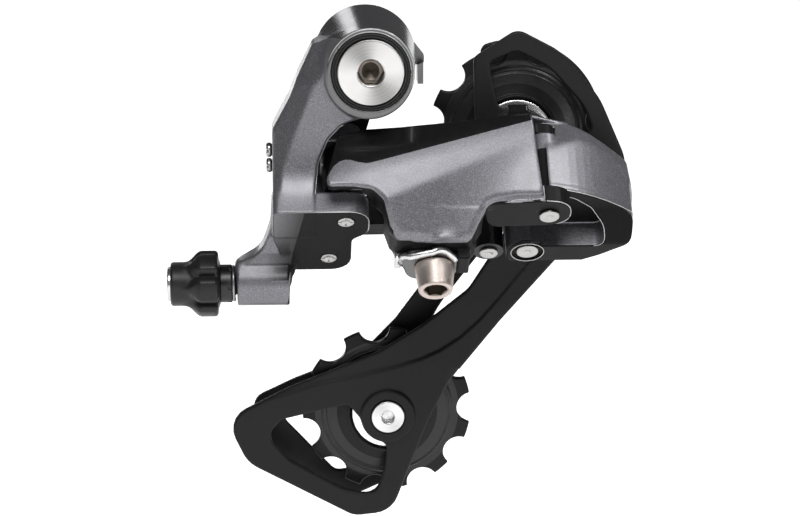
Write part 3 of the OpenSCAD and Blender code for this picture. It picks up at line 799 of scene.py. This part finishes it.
def staked_pin(name, node, at, low, high, body, r=2.0, head=None):
    """A pin whose end is staked: a flattened star with four punch marks round a centre dimple."""
    def field(p):
        u, v, w = slanted(p)
        pin = rod(u, v, w, at, low, high, r, 0.15)
        if head:
            pin = join(pin, rod(u, v, w, at, head[1], head[2], head[0], 0.35), 0.1)
        du, dv = u - at[0], v - at[1]
        radius, turn = np.hypot(du, dv), np.arctan2(dv, du)
        face = head[1] if head else low
        dish = np.sqrt(du ** 2 + dv ** 2 + (w - face + 1.1) ** 2) - 1.5
        pin = cut(pin, dish, 0.25)
        if not head:
            marks = both(np.abs(np.sin(2 * turn)) * radius - 0.28,
                         both(radius - 1.7, 0.5 - radius))
            pin = cut(pin, both(marks, span(w, face - 1, face + 0.35)), 0.15)
        return pin
    reach = (head[0] if head else r) + 0.4
    ends = (low, high, *(head[1:] if head else ()))
    box = world_box((at[0] - reach, at[1] - reach, min(ends) - 0.3),
                    (at[0] + reach, at[1] + reach, max(ends) + 0.3))
    make(name, field, box, 0.18, (STEEL,), body, "turned_steel", node)


def link_pins():
    staked_pin("staked_outer_rear_pin", "outer_link_rear_pin", B1, -44.75, -18.6, "b_knuckle")
    staked_pin("staked_inner_rear_pin", "inner_link_rear_pin", B2, -44.75, -23.2, "b_knuckle")
    staked_pin("headed_outer_front_pin", "outer_link_front_pin", P1, -43.3, -18.6, "outer_link",
               2.0, (2.5, -44.3, -43.5))
    staked_pin("headed_inner_front_pin", "inner_link_front_pin", P2, -43.2, -22.2, "p_knuckle",
               2.0, (2.8, -44.0, -43.2))
    staked_pin("headed_spring_pin", "spring_hook_pin", (29.8, 24.6), -43, -38, "inner_link",
               1.6, (2.3, -43.8, -43.0))


def small_screws():
    for kind, level in zip(("high", "low"), LIMIT_Z):
        def screw(p, level=level):
            x, y, z = p
            at = (LIMIT_Y, level)
            body = join(rod(y, z, x, at, -25.4, -23.95, 1.8, 0.6),
                        rod(y, z, x, at, -24.4, -15.6, 1.4, 0.2), 0.1)
            cross = np.minimum(np.abs(y - LIMIT_Y), np.abs(z - level)) - 0.3
            return cut(body, both(cross, span(x, -26, -24.8)), 0.15)
        box = (-26, LIMIT_Y - 2.3, level - 2.3), (-15, LIMIT_Y + 2.3, level + 2.3)
        make("crossed_" + kind + "_screw", screw, box, 0.18, (STEEL,),
             kind + "_screw", "turned_steel", kind + "_limit_screw")
    softened("b_tension_screw", "tension_screw", "dark_steel", DARK_STEEL, 0.15)


# ---- Barrel adjuster ----

def knob_field(p):
    x, y, z = p
    dy, dz = y - ADJUSTER[0], z - ADJUSTER[1]
    r, turn = np.hypot(dy, dz), np.arctan2(dz, dy)
    barrel = rod(y, z, x, ADJUSTER, -49.6, -37.4, 5.5, 0.7)
    rise = np.clip((x + 46.4) / 4.6, 0, 1)
    rise = rise * rise * (3 - 2 * rise)
    sector = (turn + math.pi / 6) % (math.pi / 3) - math.pi / 6
    across = np.abs(r * np.sin(sector)) - (0.5 + 2.6 * rise)
    wing = both(across * 0.85, (r - 5.2 - 3.05 * rise) * 0.8, 0.9)
    wing = both(wing, span(x, -46.6, -37.7), 0.9)
    knob = join(barrel, wing, 1.3)
    knob = cut(knob, rod(y, z, x, ADJUSTER, -52, -44, 4.4), 0.2)
    return cut(knob, rod(y, z, x, ADJUSTER, -52, -30, 3.02), 0.1)


def stem_field(p):
    x, y, z = p
    dy, dz = y - ADJUSTER[0], z - ADJUSTER[1]
    r = np.hypot(dy, dz)
    groove = 0.35 * tooth_wave(x / 0.8 - np.arctan2(dz, dy) / (2 * math.pi)) * (x > -34.4)
    thread = both((r - 3.0 + groove) * 0.8, span(x, -44, -24), 0.1)
    collar = rod(y, z, x, ADJUSTER, -37.3, -34.3, 4.75, 0.3)
    notches = both(np.abs(r * np.sin(3 * np.arctan2(dz, dy)) / 3) - 0.4, both(4.3 - r, -35.2 - x))
    collar = cut(collar, notches, 0.1)
    return cut(np.minimum(thread, collar), rod(y, z, x, ADJUSTER, -46, -22, 1.0))


def ferrule_field(p):
    x, y, z = p
    body = rod(y, z, x, ADJUSTER, -50.4, -44, 4.32, 0.3)
    body = cut(body, rod(y, z, x, ADJUSTER, -52, -45, 2.6), 0.25)
    return cut(body, rod(y, z, x, ADJUSTER, -47, -42, 1.0))


def barrel_adjuster():
    for name, field, low, high, step, material, slot, node in (
            ("winged_adjuster_knob", knob_field, (-50.8, -21, -64.2), (-37, -3, -46.4), 0.25,
             KNOB_PLASTIC, "black_plastic", "adjuster_knob"),
            ("threaded_adjuster_stem", stem_field, (-44.2, -17, -60.4), (-23.8, -7, -50.4), 0.16,
             DARK_STEEL, "dark_steel", "adjuster_stem"),
            ("housing_ferrule", ferrule_field, (-50.6, -16.6, -60), (-43.8, -7.4, -50.8), 0.18,
             ZINC, "bright_zinc", "adjuster_ferrule")):
        make(name, field, (low, high), step, (material,), "cable_adjuster", slot, node)


# ---- Links ----

def ridge_level(u):
    """Level of the ridge below the black top face, along the link."""
    return -35.4 + 0.3 * u - 0.09 * np.maximum(-1 - u, 0) ** 1.6


def crease_level(u):
    """Level of the crease between the main face and its turned-in lower part."""
    return -46.4 + 0.47 * u


def link_front(u, w):
    """Front of the outer link: black face, bevel and main face, hinged at ridge and crease."""
    above = w - ridge_level(u)
    black = -5 + 0.09 * above
    bevel = -5 - 0.17 * above
    front = -join(-black, -bevel, 0.9)
    below = crease_level(u) - w
    turn = np.clip(0.41 - 0.0135 * (u - 13), 0.04, 0.6)
    return front + turn * (below + np.sqrt(below ** 2 + 1.2)) / 2


LINK_FACE = rounded([[-8, -26.2, 0.6], [-1, -24.8, 2], [7, -24.4, 0], [22, -23, 0],
                     [39.6, -20.6, 1], [40.5, -32, 0], [41.6, -42.4, 0.8], [35, -42.2, 3],
                     [28.6, -43.2, 4], [25.6, -48, 5], [23.8, -52, 1.4], [6, -52, 1.6],
                     [4, -49.6, 0], [2.6, -44.6, 6], [0, -41.7, 3], [-4.4, -41.2, 0],
                     [-10.4, -41.4, 0.8], [-10.9, -39.4, 0.6], [-9.8, -34.6, 2]])
EAR = rounded([[27, 1.6, 0], [34, 0.9, 0], [42.4, 0.2, 1], [48.2, 1.2, 4.6], [49, 9.6, 4.6],
               [43.4, 11.6, 4.6], [34, 11.8, 3], [29, 12.4, 3]])
UPPER_EAR = rounded([[34, -4.6, 0], [38.8, -4.6, 0.4], [40.6, 3.9, 2], [46.2, 3.9, 2.5],
                     [46.2, 9.4, 2.5], [39, 9.4, 2.5], [34, 3, 0]])
BRIDGE = np.array([[-6, -0.8], [4, -1], [4, 3], [-2, 7], [-9, 7], [-9, 4]])
EYE_ENDS = (-36.5, -24.8)
BOSS_ENDS = (-52, -44.9)


def link_field(p):
    u, v, w = slanted(p)
    front = (link_front(u, w) - v) * 0.86
    border = outline_distance(u, w, LINK_FACE)
    low = np.clip((-40.5 - w) / 4, 0, 1)
    face = both(border, front, 0.45) * (1 - low) + both(border, front, 1.6) * low
    skin = 3.8 - 6.2 * np.clip((0.4 - u) / 3, 0, 1) * np.clip((-37.5 - w) / 1.5, 0, 1)
    shell = both(face, (v - skin) * 0.8, 0.4)
    boss = join(rod(u, v, w, (12.6, 11), *BOSS_ENDS, 7.2, 0.4),
                rod(u, v, w, (17.8, 9.8), *BOSS_ENDS, 7.2, 0.4), 0.5)
    deep = both(face + 0.2, both(v - 12, w - BOSS_ENDS[1], 0.4), 0.6)
    body = join(shell, join(boss, deep, 0.8), 0.8)
    eye = rod(u, v, w, B1, *EYE_ENDS, 5.2, 0.3)
    bridge = slab(u, v, w, BRIDGE, *EYE_ENDS, 0.3)
    body = join(body, join(eye, bridge, 1.0), 1.0)
    ear = slab(u, v, w, EAR, -43.5, -38.8, 0.3)
    upper = slab(u, v, w, UPPER_EAR, -21.5, -18.4, 0.3)
    body = join(body, join(ear, upper, 0.2), 0.6)
    post = rod(u, v, w, (26, 9), -36.5, -24.3, 2.2, 0.2)
    arm = both(both(span(u, 24.4, 27.6), span(v, 2, 9)), span(w, -26.1, -24.3), 0.2)
    body = join(body, join(post, arm, 0.4), 0.4)
    tab = both(both(span(u, 20.6, 23.6), span(v, 8, 15.5), 0.4), span(w, -54.6, -46), 0.4)
    body = join(body, tab, 0.5)
    body = cut(body, rod(u, v, w, B1, -60, -20, 2.05))
    body = cut(body, rod(u, v, w, P1, -43.7, -10, 2.01))
    body = cut(body, rod(u, v, w, P1, -38.7, -21.6, 5.3), 0.1)
    return cut(body, rod(u, v, w, ANCHOR, -60, -45, 2.5))


TIP_BORDER = ([-12, -10.6, -9.2, -7.8, -6.4, -5, -3.4, -1, 2.5],
              [-41, -38.6, -36, -34.6, -34.1, -34.2, -34.9, -35.3, -34.35])


def outer_link():
    # The link's top face is black gloss paint; short of u = 9 the black also wraps the back and
    # sides round the eye, where it is painted shade.
    def top_face(x, y, z):
        u, v, w = slanted((x, y, z))
        border = np.where(u < 2.5, np.interp(u, *TIP_BORDER), ridge_level(u) + 0.3)
        return both(both(border - w, np.minimum(v + 1.5, u - 9)), u - 39.6)

    # Painted shade: the undersides of the scoop and the tip, the ear's end and the upper ear get
    # the near-black shade coat.
    def under(x, y, z):
        u, v, w = slanted((x, y, z))
        scoop = both(w + 42.9, link_front(u, w) + 1.3 - v)
        ear = both(41.9 - u, w + 38)
        tip = both(both(w + 40.8, link_front(u, w) + 0.7 - v), u - 5)
        upper = both(both(40.1 - u, span(w, -22.2, -17)), v - 20)
        return np.minimum(np.minimum(scoop, ear), np.minimum(tip, upper))
    make("outer_link_casting", link_field, world_box((-12, -6.5, -55), (50, 19, -18)), 0.33,
         (PAINT, (SHADE_COAT, under), (BLACK_FACE, top_face)),
         "outer_link", "graphite_paint", "outer_link_body")
    # Painted highlight along the ear's edge.
    highlight_bead("ear_edge", at_level(run(EAR, (42, 0.2), (46, 11.4)), -43.42), 0.13, "outer_link")


CLAMP = rounded([[6.2, 8.6, 3], [16.4, 6.2, 4], [21.4, 10.6, 4], [20.4, 19, 4], [9, 19.6, 4]])


def clamp_field(p):
    u, v, w = slanted(p)
    plate = slab(u, v, w, CLAMP, -53.9, -52.05, 0.5)
    hook = both(both(span(u, 5.4, 6.9), span(v, 9.4, 14.6), 0.4), span(w, -53.6, -50.2), 0.4)
    plate = join(plate, hook, 1.2)
    plate = cut(plate, rod(v, w, u, (6.9, -51.9), -10, 40, 0.7), 0.2)
    return cut(plate, rod(u, v, w, ANCHOR, -60, -40, 2.5))


def clamp_bolt_field(p):
    u, v, w = slanted(p)
    r = away(u, v, ANCHOR)
    body = both((r - 4.95 - (w + 54) * 0.12) * 0.99, span(w, -61, -53.95), 0.5)
    body = join(body, rod(u, v, w, ANCHOR, -54.5, -46, 2.48), 0.1)
    body = cut(body, both(hexagon(u, v, ANCHOR, 5.0), span(w, -63, -57.6)), 0.1)
    mouth = (r - 3.3 + (w + 61) * 1.1) * 0.67
    return cut(body, both(mouth, span(w, -63, -59.5)), 0.1)


def cable_clamp():
    def under(x, y, z):
        return slanted((x, y, z))[2] + 53.7

    def socket(x, y, z):
        u, v, w = slanted((x, y, z))
        return both(away(u, v, ANCHOR) - 3.0, -60.6 - w)
    make("folded_clamp_plate", clamp_field, world_box((3.6, 5, -54.2), (22.4, 20.4, -50)), 0.2,
         (ZINC, (GREY_STEEL, under)), "outer_link", "bright_zinc", "cable_clamp_plate")
    front = run(CLAMP, (6, 12), (20.6, 9.4))
    wave = -53.7 + 0.8 * np.cos((front[:, 0] - 17) * 0.55)
    lip = tube("clamp_plate_lip", from_slanted(np.column_stack([front, wave])), 0.95, 12)
    paint(lip, ZINC)
    place(lip, "outer_link", "bright_zinc")
    make("nickel_cable_bolt", clamp_bolt_field, world_box((10, 7.8, -61.3), (20.4, 18.2, -45.8)),
         0.17, (NICKEL, (SOCKET_METAL, socket)), "outer_link", "warm_nickel", "cable_bolt")


def inner_link():
    softened("inner_link_body", "inner_link", "dark_steel", DARK_STEEL, 0.5)


# ---- Lower knuckle ----

KNUCKLE = rounded([[43.4, 2.3, 0.5], [52, 4.6, 36], [60, 9.6, 50], [65.4, 14.2, 3], [65.4, 22, 6],
                   [57.4, 30, 12], [46.4, 35.6, 3], [46.4, 12.6, 2], [41.8, 8.6, 1.2],
                   [41.8, 5.6, 0.5]])
POCKET = rounded([[40, 4.8, 0], [46.3, 5.2, 4], [50.4, 7.4, 6], [54.6, 11.4, 8], [58, 15.6, 4],
                  [58.6, 20.7, 2.5], [40, 20.7, 0]])
RIM = rounded([[43.4, 2.3, 0.5], [52, 4.6, 36], [60, 9.6, 50], [65.4, 14.2, 3], [65, 20, 5],
               [57.6, 25.6, 14], [44.7, 32.6, 6], [34.2, 29, 5], [34.2, 18.6, 5], [41.2, 18.6, 1],
               [42, 8.6, 1.2], [41.8, 5.6, 0.5]])
P2_TOP = rounded([[34.6, 18.8, 4.7], [48, 18.8, 0], [48, 28.4, 0], [34.6, 28.4, 4.7]])
NOSE_BASE = -38.5
STOP_BUMP = [c + 13.9 * s for c, s in zip(CAGE_AXIS, (math.cos(math.radians(237)),
                                                      math.sin(math.radians(237))))]


def rim_level(v):
    """Level of the lower knuckle's underside, which drops from its nose to its lug."""
    share = np.clip((v - 10.5) / 10, 0, 1)
    return NOSE_BASE - 5.5 * share * share * (3 - 2 * share)


def lower_knuckle_field(p):
    x, y, z = p
    u, v, w = slanted(p)
    crease = -26 + 0.42 * np.clip(u - 44, 0, 8) - 0.26 * np.maximum(u - 55, 0)
    above = w - crease
    lean = 0.45 * (above + np.sqrt(above ** 2 + 1.5)) / 2
    nose = both(outline_distance(u, v - lean, KNUCKLE) * 0.92, NOSE_BASE - w, 0.4)
    crown = w + 13.6 + 0.40 * np.maximum(u - 44, 0)
    nose = meet(nose, crown * 0.85, 1.0)
    lug = both(outline_distance(u, v, RIM), both((rim_level(v) - w) * 0.8, w + 36.8), 0.4)
    lip = both(both(span(u, 40.0, 50), span(v - 0.3 * (u - 40), 4.6, 6.8), 0.3),
               span(w + 0.075 * (u - 40), -16.1, -15.1), 0.25)
    top = slab(u, v, w, P2_TOP, -27.7, -22, 0.5)
    body = join(join(join(nose, lug, 0.2), top, 0.7), lip, 0.5)
    body = cut(body, both(outline_distance(u, v, POCKET), w + 37.2), 0.2)
    body = meet(body, y - 3.2, 0.2)
    body = join(body, rod(u, v, w, P1, NOSE_BASE, -21.8, 3.8, 0.2), 0.3)
    body = join(body, rod(x, z, y, CAGE_AXIS, -10, 4.7, 11.7, 0.8), 1.6)
    body = join(body, rod(x, z, y, STOP_BUMP, 0, 4.3, 1.8, 0.2), 0.4)
    body = cut(body, rod(u, v, w, P1, -60, -17.6, 2.05))
    body = cut(body, rod(u, v, w, P1, -21.8, -18.2, 3.0), 0.2)
    body = cut(body, rod(u, v, w, P2, -60, -15, 2.01))
    body = cut(body, rod(u, v, w, P2, -60, -43.2, 4.0), 0.3)
    body = cut(body, rod(u, v, w, P2, -36.8, -27.7, 5.0), 0.1)
    body = cut(body, rod(x, z, y, CAGE_AXIS, -11, 9, 4.55))
    return cut(body, rod(x, z, y, CAGE_AXIS, -6.4, 9, 9.0), 0.2)


def lower_knuckle():
    # Painted shade: the pocket, the lug's underside, the recess round the P2 pin and the nose's
    # left flank get the near-black shade coat.
    def under(x, y, z):
        u, v, w = slanted((x, y, z))
        pocket = both(both(w + 36.9, outline_distance(u, v, POCKET) + 0.15), v - 20.4)
        face = both(w - rim_level(v) - 0.3, -0.1 - outline_distance(u, v, POCKET))
        recess = both(away(u, v, P2) - 4.3, w + 43.0)
        shaded_flank = both(both(u - 43.5, span(w, -38.6, -26.5)), v - 9)
        return np.minimum(np.minimum(pocket, face), np.minimum(recess, shaded_flank))
    make("lower_knuckle_casting", lower_knuckle_field, ((33, -42, -50), (68, 5.2, -10)), 0.34,
         (PAINT, (SHADE_COAT, under)), "p_knuckle", "graphite_paint", "p_knuckle_body")
    # Painted highlights along the nose, the pocket's rim and the recess round P2.
    highlight_bead("nose_edge", at_level(run(KNUCKLE, (43.6, 2.3), (65.4, 20)), -38.4), 0.14,
                "p_knuckle")
    eye = run(POCKET, (44, 4.9), (41, 20.7))
    eye = eye[eye[:, 0] > 43]
    levels = rim_level(eye[:, 1])
    highlight_bead("pocket_edge", from_slanted(np.column_stack([eye, levels])), 0.1, "p_knuckle")
    highlight_bead("recess_edge", ring_points(P2, 4.1, -43.97, from_slanted), 0.12, "p_knuckle", True)
    softened("p_cover", "p_knuckle", "black_plastic", PLATE_PLASTIC, 0.2)
    softened("p_bushing", "p_knuckle", "bronze", BRONZE, 0.2)


# ---- Cage ----

OUTER_PLATE = rounded([[27.2, -2, 2.5], [38.4, 5.2, 4], [49.4, -0.6, 14], [59.6, -12.6, 18],
                       [66.4, -28, 12], [66.8, -40, 10], [55, -48, 14], [34.6, -71.2, 0],
                       [21.6, -87.4, 12], [16.2, -97.6, 20], [6.4, -123.2, 7], [-3.6, -124.2, 6],
                       [-31.4, -109, 9], [-37, -97, 6], [-20, -88.4, 0], [3, -79.2, 16],
                       [14.4, -72.2, 14], [26.4, -62.6, 8], [37, -46, 10], [30.4, -30, 12],
                       [27.6, -17, 12]])
TAIL_WINDOW = rounded([[-26.4, -101.6, 3.4], [-22.4, -97.2, 3], [-5, -93.2, 2.4], [-2, -97, 2],
                       [0.6, -101.8, 7], [5.2, -104.6, 2], [4.8, -110, 8], [2.2, -118.8, 4],
                       [-6, -116.8, 8], [-20.4, -108.4, 8]])
GUIDE_WINDOW = rounded([[31.2, -3.4, 1.6], [38.2, -0.2, 3], [46.6, -4.6, 14], [55.4, -14.6, 14],
                        [57.8, -20.6, 2], [53.6, -24.4, 3], [46.2, -18.2, 4], [40, -14.6, 6],
                        [33.6, -15, 2]])
PLATE_CREASE = np.array([[40, -58], [34.6, -64.7], [29.4, -70.8], [24.2, -75.6], [19, -79],
                         [13.8, -81.3], [8.6, -82.9], [-1.8, -85.4], [-12.3, -87.3], [-24, -91]])
TAIL_CREASE = np.array([[21.6, -84], [19.1, -91.3], [13.3, -103.3], [9.4, -113], [7.4, -121]])
INNER_PLATE = rounded([[30.4, -14.6, 7], [44.6, -14.6, 8], [47.4, -29, 8], [40.6, -42, 12],
                       [30, -56, 30], [18.4, -71.2, 30], [14.6, -82, 10], [15.8, -98, 12],
                       [9.8, -116.6, 7], [-4, -122.8, 7], [-18, -115, 6], [-27.6, -105.6, 4],
                       [-30.4, -95, 4], [-19, -89.6, 6], [-1, -82.6, 10], [7.8, -73.6, 10],
                       [20, -57, 30], [29.2, -42, 14], [30, -28, 8]])
INNER_WINDOW = rounded([[-23.2, -99, 3], [-17.4, -95.4, 3], [-4.4, -91.6, 3], [-3, -97, 3],
                        [0.6, -102.4, 6], [4, -106, 3], [2.2, -113.4, 4], [-8, -115.6, 3]])


def outer_plate_field(p):
    x, y, z = p
    edge = outline_distance(x, z, OUTER_PLATE)
    windows = np.minimum(outline_distance(x, z, TAIL_WINDOW), outline_distance(x, z, GUIDE_WINDOW))
    flat = np.maximum(edge, -windows)
    lower_side = line_distance(x, z, PLATE_CREASE)
    fade = np.clip((16 - np.abs(x - 6)) / 40 + 1, 0, 1)
    step = 0.55 * np.clip(lower_side / 0.5 + 0.5, 0, 1) * fade
    tail_side = -line_distance(x, z, TAIL_CREASE)
    slope = 0.28 * np.clip(tail_side, 0, 3.5)
    front = PLATE_OUT + step + np.where(z < -84, slope, 0)
    front = np.minimum(front, PLATE_IN - 0.8)
    plate = both(flat, (front - y) * 0.8, 0.5)
    plate = both(plate, y - PLATE_IN, 0.3)
    for at in (GUIDE_AXIS, TENSION_AXIS):
        plate = join(plate, rod(x, z, y, at, PLATE_OUT - 0.9, PLATE_IN, 7.1, 0.5), 0.4)
        plate = cut(plate, rod(x, z, y, at, 0, PLATE_OUT + 0.6, 4.5), 0.15)
        plate = cut(plate, rod(x, z, y, at, 0, 20, 2.5))
    return cut(plate, rod(x, z, y, CAGE_AXIS, 0, 20, 4.5))


def inner_plate_field(p):
    x, y, z = p
    edge = outline_distance(x, z, INNER_PLATE)
    window = outline_distance(x, z, INNER_WINDOW)
    guard = both(away(x, z, GUIDE_AXIS) - 23.2, 30 - x, 1.5)
    edge = join(edge, both(guard, -30 - z, 1.0), 2.0)
    flat = np.maximum(edge, -window)
    plate = both(flat, span(y, INNER_IN, INNER_OUT), 0.3)
    plate = cut(plate, both(np.abs(edge + 3.0) - 0.7, INNER_OUT - 0.4 - y, 0.1), 0.3)
    for at in (GUIDE_AXIS, TENSION_AXIS):
        radius = away(x, z, at)
        ring = both(np.abs(radius - 4.6) - 0.9, span(y, INNER_OUT - 1, INNER_OUT), 0.2)
        plate = np.minimum(plate, ring)
        plate = cut(plate, rod(x, z, y, at, 0, 30, 2.5))
    return plate


def cage_plates():
    for side, field, low, high in (
            ("outer", outer_plate_field, (-37, 4.2, -125), (67.5, 7.5, 6)),
            ("inner", inner_plate_field, (-30, 16.5, -123), (63, 18.6, 2))):
        make("moulded_" + side + "_plate", field, (low, high), 0.36, (PLATE_PLASTIC,),
             "cage", "black_plastic", "cage_" + side + "_plate")
    softened("p_axle", "cage", "turned_steel", STEEL, 0.3)
    softened("cage_stop_pin", "cage", "turned_steel", STEEL, 0.2)


def pulley_bolt_field(p, at):
    x, y, z = p
    body = join(rod(x, z, y, at, 4.0, 5.9, 4.3, 0.3), rod(x, z, y, at, 5, 18.3, 2.5, 0.2), 0.1)
    body = cut(body, both(hexagon(x, z, at, 3.0), span(y, 0, 5.7)), 0.05)
    mouth = (away(x, z, at) - 1.85 + (y - 4.0) * 1.1) * 0.67
    return cut(body, both(mouth, span(y, 2, 5.2)), 0.1)


def dust_caps_field(p, at):
    x, y, z = p
    r = away(x, z, at)
    half = np.abs(y - PULLEY_Y)
    dome = np.clip((r - 7.6) / 1.7, 0, 1) ** 2 * 0.45
    return both(both(r - 9.3, 4.55 - r, 0.1), both(half - 4.65 + dome, 3.95 - half, 0.12), 0.12)


def pulley_bolts():
    for key, at in PULLEY_AXES.items():
        make(key + "_pulley_bolt", lambda p, at=at: pulley_bolt_field(p, at),
             box_round(at, 4.6, 3.6, 18.6), 0.17, (BOLT_METAL[key],),
             "cage", "turned_steel", key + "_bolt")
        softened(key + "_sleeve", "cage", "turned_steel", STEEL, 0.15)
        make(key + "_domed_caps", lambda p, at=at: dust_caps_field(p, at),
             box_round(at, 9.6, 7.2, 16.8), 0.22, (CAP_METAL[key],),
             "cage", "bright_zinc", key + "_dust_caps")


TEETH = 11
PITCH_R = 12.7 / (2 * math.sin(math.pi / TEETH))
TIP_R = PITCH_R - 0.3
ROLLER_R = 4.05


def pulley_field(p, at, phase):
    x, y, z = p
    dx, dz = x - at[0], z - at[1]
    r = np.hypot(dx, dz)
    pitch_angle = 2 * math.pi / TEETH
    turn = np.arctan2(dz, dx) - math.radians(phase)
    gap = (turn % pitch_angle) - pitch_angle / 2
    gx, gz = r * np.cos(gap) - PITCH_R, r * np.sin(gap)
    toothed = meet(r - TIP_R, ROLLER_R - np.hypot(gx, gz), 0.25)
    half = np.abs(y - PULLEY_Y)
    taper = 0.16 * np.maximum(r - 18.6, 0)
    teeth = both(toothed, (half - 1.2 + taper) * 0.97, 0.25)
    dish = 1.9 + 1.6 * np.clip((17.0 - r) / 6.0, 0, 1) ** 1.4
    body = both(both(r - 17.0, 8.6 - r, 0.1), (half - dish) * 0.93, 0.3)
    lip = both(both(r - 10.5, 9.7 - r, 0.1), half - 4.3, 0.25)
    hub = both(both(r - 9.9, 4.55 - r, 0.1), half - 3.75, 0.1)
    wheel = join(join(join(teeth, body, 0.8), lip, 0.4), hub, 0.3)
    ring_groove = both(np.abs(r - 16.2) - 0.22, dish - 0.25 - half, 0.1)
    return cut(wheel, ring_groove, 0.2)


def pulleys():
    for key, phase in (("guide", 24.3), ("tension", 16.5)):
        at = PULLEY_AXES[key]

        def shoulder(x, y, z, at=at):
            return span(away(x, z, at), 13.2, 19.0)
        make("dished_" + key + "_pulley",
             lambda p, at=at, phase=phase: pulley_field(p, at, phase),
             box_round(at, TIP_R + 0.4, 7.4, 16.6), 0.3,
             (PULLEY_PLASTIC, (STIPPLED_PLASTIC, shoulder)),
             key + "_wheel", "black_plastic", key + "_pulley")


# ---- Springs ----

def coil_spring(name, node, body, to_world, mid_r, wire_r, turns, pitch):
    """A coil of round wire about the z axis of a local frame, which to_world places."""
    turn = 2 * math.pi * np.arange(turns * 40 + 1) / 40
    path = np.stack([mid_r * np.cos(turn), mid_r * np.sin(turn), pitch * turn / (2 * math.pi)], 1)
    piece = tube(name, to_world(path), wire_r, 12)
    paint(piece, SPRING_STEEL)
    place(piece, body, "dark_steel", node)


def springs():
    coil_spring("hanger_torsion_spring", "b_spring", "b_knuckle",
                lambda q: np.stack([q[:, 0], q[:, 2] - 17.8, -q[:, 1]], 1), 7.9, 0.9, 4, 2.0)
    coil_spring("cage_torsion_spring", "p_spring", "p_knuckle",
                lambda q: np.stack([q[:, 0] + CAGE_AXIS[0], q[:, 2] - 4.8,
                                    CAGE_AXIS[1] - q[:, 1]], 1), 6.9, 0.8, 4, 1.75)
    coil_spring("link_return_spring", "return_spring", "outer_link",
                lambda q: from_slanted(q + np.array([26, 9, -35.3])), 3.4, 0.6, 6, 1.4)
    coil_spring("adjuster_click_spring", "adjuster_spring", "b_knuckle",
                lambda q: np.stack([q[:, 2] - 34.2, q[:, 1] + ADJUSTER[0],
                                    ADJUSTER[1] - q[:, 0]], 1), 4.15, 0.45, 1, 0.4)


# ---- Studio ----

CAMERA_AT, LENS = (-0.02318, -0.60095, 0.10199), 109.5
AZIMUTH, ELEVATION = math.radians(-3), math.radians(14.4)


def look_along(thing, place_at, direction):
    """Places a camera or lamp, turned to face a direction, in the scene."""
    thing.location = place_at
    thing.rotation_mode = "QUATERNION"
    thing.rotation_quaternion = Vector(direction).to_track_quat("-Z", "Y")
    bpy.context.scene.collection.objects.link(thing)


def camera():
    back = Vector((math.sin(AZIMUTH) * math.cos(ELEVATION),
                   -math.cos(AZIMUTH) * math.cos(ELEVATION), math.sin(ELEVATION)))
    data = bpy.data.cameras.new("camera")
    data.lens = LENS
    data.clip_start, data.clip_end = 0.05, 20
    thing = bpy.data.objects.new("camera", data)
    look_along(thing, CAMERA_AT, -back)
    bpy.context.scene.camera = thing


def softbox(name, direction, distance, width, height, power):
    """A rectangular lamp that looks at the middle of the part from a direction."""
    middle = (cad_lo + cad_hi) / 2
    data = bpy.data.lights.new(name, "AREA")
    data.shape = "RECTANGLE"
    data.size, data.size_y = width, height
    data.energy = power
    place_at = middle + Vector(direction).normalized() * distance
    look_along(bpy.data.objects.new(name, data), place_at, middle - place_at)


def studio():
    softbox("key_top_front", (-0.04, -0.60, 0.80), 1.3, 0.6, 0.45, 9.3)
    softbox("top_right", (0.56, -0.16, 0.83), 1.0, 0.3, 0.24, 3.4)
    softbox("right_front", (0.62, -0.75, -0.2), 0.9, 0.25, 0.5, 1.0)
    softbox("camera_side", (-0.12, -0.97, -0.12), 1.1, 0.5, 0.5, 1.2)
    softbox("back_fill", (-0.3, 0.9, -0.25), 1.2, 0.6, 0.6, 3.0)
    softbox("back_strip", (-0.2, 0.9, 0.40), 0.9, 0.12, 0.3, 0.25)
    world = bpy.data.worlds.new("studio_world")
    bpy.context.scene.world = world
    world.use_nodes = True
    background = world.node_tree.nodes["Background"]
    seen = add(world, "LightPath", "Is Camera Ray", {})
    link(world, spread(world, seen, 0.08, 1.0, 0.0, 1.0), background.inputs["Strength"])
    background.inputs["Color"].default_value = (1, 1, 1, 1)
    bpy.context.scene.view_settings.view_transform = "Standard"

    material, shader = new_material("pale_floor", grey(0.86), 0.0, 0.7)
    shade = noise(material, 6, 2.0)
    link(material, shades(material, shade, (0.3, grey(0.85)), (0.7, grey(0.87))),
         shader.inputs["Base Color"])
    shader.inputs["Emission Color"].default_value = (1, 1, 1, 1)
    shader.inputs["Emission Strength"].default_value = 0.95
    bpy.ops.mesh.primitive_plane_add(size=12, location=(0, 0, cad_lo.z - 0.05))
    floor = bpy.context.object
    floor.name = "studio_floor"
    floor.data.materials.append(material)
    floor.visible_diffuse = False


camera()
studio()
upper_knuckle()
hanger_pivot()
link_pins()
small_screws()
barrel_adjuster()
outer_link()
cable_clamp()
inner_link()
lower_knuckle()
cage_plates()
pulley_bolts()
pulleys()
springs()
